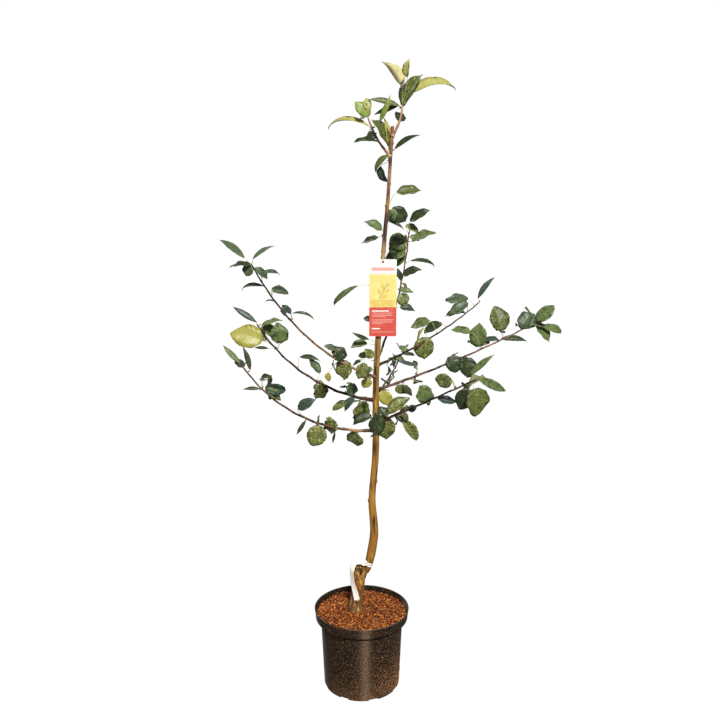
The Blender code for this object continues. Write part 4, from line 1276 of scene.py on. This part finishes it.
tag_white = textured("tag_white", (0.88, 0.86, 0.82), [Patches((0.82, 0.80, 0.75), 0.03)], (0.4, 0.5), 0.003, 0.00004)
tag_yellow = textured("tag_yellow", (0.78, 0.64, 0.20), [Patches((0.82, 0.70, 0.27), 0.02)], (0.4, 0.5), 0.003, 0.00004)
tag_gold = textured("tag_gold", (0.68, 0.50, 0.12), [Patches((0.74, 0.58, 0.17), 0.01)], (0.4, 0.5), 0.003, 0.00004)
tag_red = textured("tag_red", (0.58, 0.075, 0.050), [Patches((0.62, 0.105, 0.070), 0.02)], (0.4, 0.5), 0.003, 0.00004)
tag_plum = textured("tag_plum", (0.25, 0.16, 0.15), [Patches((0.31, 0.21, 0.19), 0.01)], (0.4, 0.5), 0.003, 0.00004)
tag_blush = textured("tag_blush", (0.76, 0.38, 0.33), [Patches((0.72, 0.33, 0.28), 0.01)], (0.4, 0.5), 0.003, 0.00004)


def rounded_box(left, right, low, high, corner, divisions):
    """A box's outline with round corners. divisions are the steps of its bottom, sides and top."""
    bottom, sides, top = divisions
    inner_left, inner_right, inner_low, inner_high = left + corner, right - corner, low + corner, high - corner
    return np.concatenate(
        [
            straight((inner_left, low), (inner_right, low), bottom + 1),
            arc((inner_right, inner_low), corner, -75, -15, 5),
            straight((right, inner_low), (right, inner_high), sides + 1),
            arc((inner_right, inner_high), corner, 15, 75, 5),
            straight((inner_right, high), (inner_left, high), top + 1),
            arc((inner_left, inner_high), corner, 105, 165, 5),
            straight((left, inner_high), (left, inner_low), sides + 1),
            arc((inner_left, inner_low), corner, 195, 255, 5),
        ]
    )


def plate(outline, front, thickness, hole=None):
    """A flat plate that faces the viewer, cut to an outline, with a round hole if one is given.

    The hole is a centre and a radius. It has a point on the line to each point of the
    outline, and a strip of quads joins the two.
    """
    rings = [outline]
    if hole:
        centre, radius = hole
        rings.append(centre + radius * unit(outline - centre))
    count = len(outline)
    levels = [np.insert(ring, 1, depth, axis=1) for depth in (front, front + thickness) for ring in rings]
    turn = np.arange(count)
    after = (turn + 1) % count
    back = len(rings) * count
    rim = np.column_stack([turn, turn + back, after + back, after])
    if not hole:
        return np.concatenate(levels), [turn, turn[::-1] + back, *rim]
    face = np.column_stack([turn, after, after + count, turn + count])
    bore = np.column_stack([turn, after, after + back, turn + back]) + count
    return np.concatenate(levels), [*face, *(face[:, ::-1] + back), *rim, *bore]


def leaf_outline(foot, clock, length, width):
    """A plain pointed oval that sets out from its foot: half-widths are a power of a sine."""
    t = np.linspace(0, 1, 17)
    half = width / 2 * np.sin(np.pi * t) ** 0.8
    along = np.concatenate([t, t[-2:0:-1]]) * length
    across = np.concatenate([-half, half[-2:0:-1]])
    ahead = np.array([math.cos(clock), math.sin(clock)])
    return foot + along[:, None] * ahead + across[:, None] * (-ahead[1], ahead[0])


tag_left, tag_right = TAG_RIGHT - TAG_WIDTH / 2, TAG_RIGHT + TAG_WIDTH / 2
tag_foot = TAG_TOP - TAG_HEIGHT
head_foot = TAG_TOP - HEAD_HEIGHT
picture_foot = head_foot - PICTURE_HEIGHT
card_front = TAG_FRONT - TAG_THICKNESS / 2
card_back = TAG_FRONT + TAG_THICKNESS / 2
tag_outline = rounded_box(tag_left, tag_right, tag_foot, TAG_TOP, TAG_CORNER, (8, 26, 44))
tag_hole = (np.array([TAG_RIGHT, TAG_TOP - TAG_HOLE_DROP]), TAG_HOLE_RADIUS)
card = plate(tag_outline, card_front, TAG_THICKNESS, tag_hole)
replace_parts(add_piece("tag_card", *card, [tag_white], slot="tag_card", smooth=False), "hang_tag")


def printed(layer, left, right, low, high, skin, corner=0.0004, behind=False):
    """One box of print, in shares of the card's width from its left and metres of height."""
    box = rounded_box(
        tag_left + left * TAG_WIDTH, tag_left + right * TAG_WIDTH, low, high, corner, (1, 1, 1)
    )
    front = card_back if behind else card_front - layer * PRINT_LAYER
    return plate(box, front, PRINT_LAYER), skin


print_skins = [tag_yellow, tag_gold, tag_red, tag_plum, tag_blush, tag_white]
YELLOW, GOLD, RED, PLUM, BLUSH, WHITE = range(len(print_skins))
prints = [
    printed(1, 0, 1, picture_foot, head_foot, YELLOW),
    printed(1, 0, 1, tag_foot, picture_foot, RED, corner=TAG_CORNER * 0.99),
    printed(1, 0.08, 0.92, TAG_TOP - 0.031, TAG_TOP - 0.022, BLUSH, corner=0.0015),
    printed(1, 0.05, 0.95, head_foot + 0.0030, head_foot + 0.0040, PLUM),
    printed(2, 0.02, 0.98, picture_foot + 0.002, picture_foot + 0.020, GOLD, corner=0.006),
]
prints += [
    printed(2, 0.10, right, picture_foot - drop - tall, picture_foot - drop, WHITE if tall > 0.002 else BLUSH)
    for right, drop, tall in (
        (0.72, 0.009, 0.0030), (0.86, 0.015, 0.0014), (0.80, 0.0185, 0.0014), (0.88, 0.022, 0.0014),
        (0.60, 0.0255, 0.0014), (0.90, 0.034, 0.0014), (0.84, 0.0375, 0.0014), (0.87, 0.041, 0.0014),
        (0.50, 0.0445, 0.0014), (0.40, 0.058, 0.0030), (0.90, 0.068, 0.0014),
    )
]
sprig_foot = np.array([tag_left + 0.30 * TAG_WIDTH, picture_foot + 0.014])
SPRIG_LEAN = math.radians(62)
sprig_ahead = np.array([math.cos(SPRIG_LEAN), math.sin(SPRIG_LEAN)])
for along, clock, length in (
    (0.000, 62, 0.066), (0.012, 20, 0.024), (0.020, 112, 0.022), (0.030, 24, 0.021),
    (0.038, 108, 0.019), (0.048, 30, 0.016),
):
    width = 0.0014 if along == 0 else length * 0.46
    outline = leaf_outline(sprig_foot + along * sprig_ahead, math.radians(clock), length, width)
    prints.append((plate(outline, card_front - 2 * PRINT_LAYER, PRINT_LAYER), PLUM if along == 0 else GOLD))
prints += [
    printed(0, 0.12, right, TAG_TOP - drop - 0.0016, TAG_TOP - drop, PLUM, behind=True)
    for right, drop in ((0.75, 0.030), (0.88, 0.037), (0.85, 0.044), (0.88, 0.051), (0.60, 0.058))
]
print_points, print_faces = joined([made for made, _ in prints])
print_materials = np.concatenate([np.full(len(made[1]), skin) for made, skin in prints])
add_piece("tag_print", print_points, print_faces, print_skins, print_materials, slot="tag_card", smooth=False)

# The tag's thread: a two-ply cotton yarn in one loop round the trunk, whose lowest point
# goes through the card's hole. The yarn's plies show as two ridges that wind along it.
THREAD_RADIUS = 0.0007
THREAD_TOP = 1.288
THREAD_SLACK = 0.0020
THREAD_SPREAD = 0.020
THREAD_GAP = 0.0003
THREAD_STEPS = 240
THREAD_SIDES = 10
PLY_DEPTH = 0.16
PLY_TURNS = 46


def loop_tube(centres, radii, aside):
    """A tube along a closed loop of points, with one radius for each point."""
    count, sides = radii.shape
    tangents = unit(np.roll(centres, -1, axis=0) - np.roll(centres, 1, axis=0))
    first = unit(aside - tangents * (tangents @ aside)[:, None])
    second = np.cross(tangents, first)
    angles = 2 * np.pi * np.arange(sides) / sides
    spokes = np.cos(angles)[:, None] * first[:, None] + np.sin(angles)[:, None] * second[:, None]
    rings = centres[:, None] + spokes * radii[..., None]
    faces = grid_faces(count + 1, sides, wrap=True) % (count * sides)
    return rings.reshape(-1, 3), faces


(trunk_right, trunk_back, _), thread_reach = stem_at(THREAD_TOP, STEM)[0][0], stem_at(THREAD_TOP, STEM)[1][0]
thread_reach = thread_reach + THREAD_RADIUS + THREAD_SLACK
hung = TAG_TOP - TAG_HOLE_DROP + TAG_HOLE_RADIUS - THREAD_RADIUS - THREAD_GAP
round_trunk = 2 * np.pi * np.arange(THREAD_STEPS) / THREAD_STEPS
dip = np.clip(-np.sin(round_trunk), 0, 1) ** 3
ring_right = trunk_right + thread_reach * np.cos(round_trunk)
ring_back = trunk_back - THREAD_SLACK + 2 * THREAD_GAP + thread_reach * np.sin(round_trunk)
thread_line = np.column_stack(
    [
        ring_right + (TAG_RIGHT - ring_right) * dip,
        ring_back + (TAG_FRONT - ring_back) * dip - THREAD_SPREAD * np.cos(round_trunk) * dip,
        THREAD_TOP + (hung - THREAD_TOP) * dip,
    ]
)
ply_angles = 2 * np.pi * np.arange(THREAD_SIDES) / THREAD_SIDES
plies = np.cos(2 * (ply_angles[None] - PLY_TURNS / 2 * round_trunk[:, None]))
thread_fibre = textured(
    "thread_fibre", (0.640, 0.600, 0.380), [Patches((0.460, 0.420, 0.220), 0.003)], (0.85, 0.95), 0.0005, 0.0001
)
yarn = loop_tube(thread_line, THREAD_RADIUS * (1 - PLY_DEPTH + PLY_DEPTH * plies), np.array([0, 0, 1.0]))
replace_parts(add_piece("thread_yarn", *yarn, [thread_fibre], slot="thread"), "tag_thread")

# The loop label: a cream plastic strap that hangs along the stub's front left, bends over its
# cut top, and ends in a narrow tail that is passed round the trunk's foot. Its edges are
# rounded and its face is a little cupped.
STRAP_WIDTH = 0.017
STRAP_THICKNESS = 0.0010
STRAP_CORE_DROP = 0.012
STRAP_RINGS = 90
STRAP_CUP = 0.0006
STRAP_ROUTE = (
    (-0.0138, -0.0082, 0.2640), (-0.0186, -0.0088, 0.2880), (-0.0245, -0.0068, 0.3120),
    (-0.0284, -0.0045, 0.3420), (-0.0272, -0.0015, 0.3656), (-0.0197, -0.0010, 0.3800),
    (-0.0079, -0.0020, 0.3838), (0.0035, -0.0030, 0.3830), (0.0110, -0.0045, 0.3775),
)
STRAP_FACE_TURN = (0.350, 0.376)
STRAP_FACE = (0.0, -0.86, 0.51)
TAIL_WIDTH = 0.0042
TAIL_APART = 0.0068
TAIL_START = (0.0098, -0.0052, 0.3775)
TAIL_TOP = 0.3740
TAIL_FOOT = 0.3660
TAIL_SLIP = 0.0012
TAIL_RINGS = 70


def strap(places, outward, width, thickness, cup, columns=9):
    """A strap along a route: a sheet whose face is cupped and whose edges are thinned."""
    ahead = unit(np.gradient(places, axis=0))
    across = unit(np.cross(outward, ahead))
    outward = unit(np.cross(ahead, across))
    s = np.linspace(-1, 1, columns)
    flat = places[:, None] + s[:, None] * across[:, None] * width / 2
    edge = 1 - 0.7 * np.abs(s) ** 6
    bowed = flat + outward[:, None] * (cup * s**2)[:, None]
    return closed_sheet(
        bowed + outward[:, None] * (thickness * (0.5 + 0.5 * edge))[:, None],
        bowed + outward[:, None] * (thickness * (0.5 - 0.5 * edge))[:, None],
    )


strap_at = np.linspace(0, len(STRAP_ROUTE) - 1, STRAP_RINGS)
strap_line = np.column_stack([smooth_values(strap_at, range(len(STRAP_ROUTE)), axis) for axis in zip(*STRAP_ROUTE)])
core_level = np.minimum(strap_line[:, 2], STUB[-1][0] - STRAP_CORE_DROP)
turned_up = np.clip((strap_line[:, 2] - STRAP_FACE_TURN[0]) / (STRAP_FACE_TURN[1] - STRAP_FACE_TURN[0]), 0, 1)[:, None]
strap_out = unit(strap_line - stem_at(core_level, STUB)[0]) * (1 - turned_up) + np.array(STRAP_FACE) * turned_up
tail_turn = np.radians(np.linspace(-125, 100, TAIL_RINGS))
tail_level = TAIL_FOOT + (TAIL_TOP - TAIL_FOOT) * np.exp((tail_turn[0] - tail_turn) / 0.8)
tail_centres, tail_radii = stem_at(tail_level, STEM)
tail_out = np.column_stack([np.cos(tail_turn), np.sin(tail_turn), np.full(TAIL_RINGS, 0.15)])
tail_line = tail_centres + (tail_radii + TAIL_SLIP)[:, None] * tail_out
tail_line = np.concatenate([np.linspace(TAIL_START, tail_line[0], 9)[:-1], tail_line])
tail_out = np.concatenate([np.linspace(STRAP_FACE, tail_out[0], 9)[:-1], tail_out])
label_plastic = textured(
    "label_plastic", (0.860, 0.820, 0.710), [Patches((0.740, 0.680, 0.540), 0.012, above=0.54)],
    (0.42, 0.6), 0.002, 0.00008,
)
label = joined(
    [
        strap(strap_line, strap_out, STRAP_WIDTH, STRAP_THICKNESS, STRAP_CUP),
        strap(tail_line + (0, 0, TAIL_APART / 2), tail_out, TAIL_WIDTH, STRAP_THICKNESS * 0.7, 0.0001),
        strap(tail_line - (0, 0, TAIL_APART / 2), tail_out, TAIL_WIDTH, STRAP_THICKNESS * 0.7, 0.0001),
    ]
)
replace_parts(add_piece("loop_strap", *label, [label_plastic], slot="label_plastic"), "loop_label")
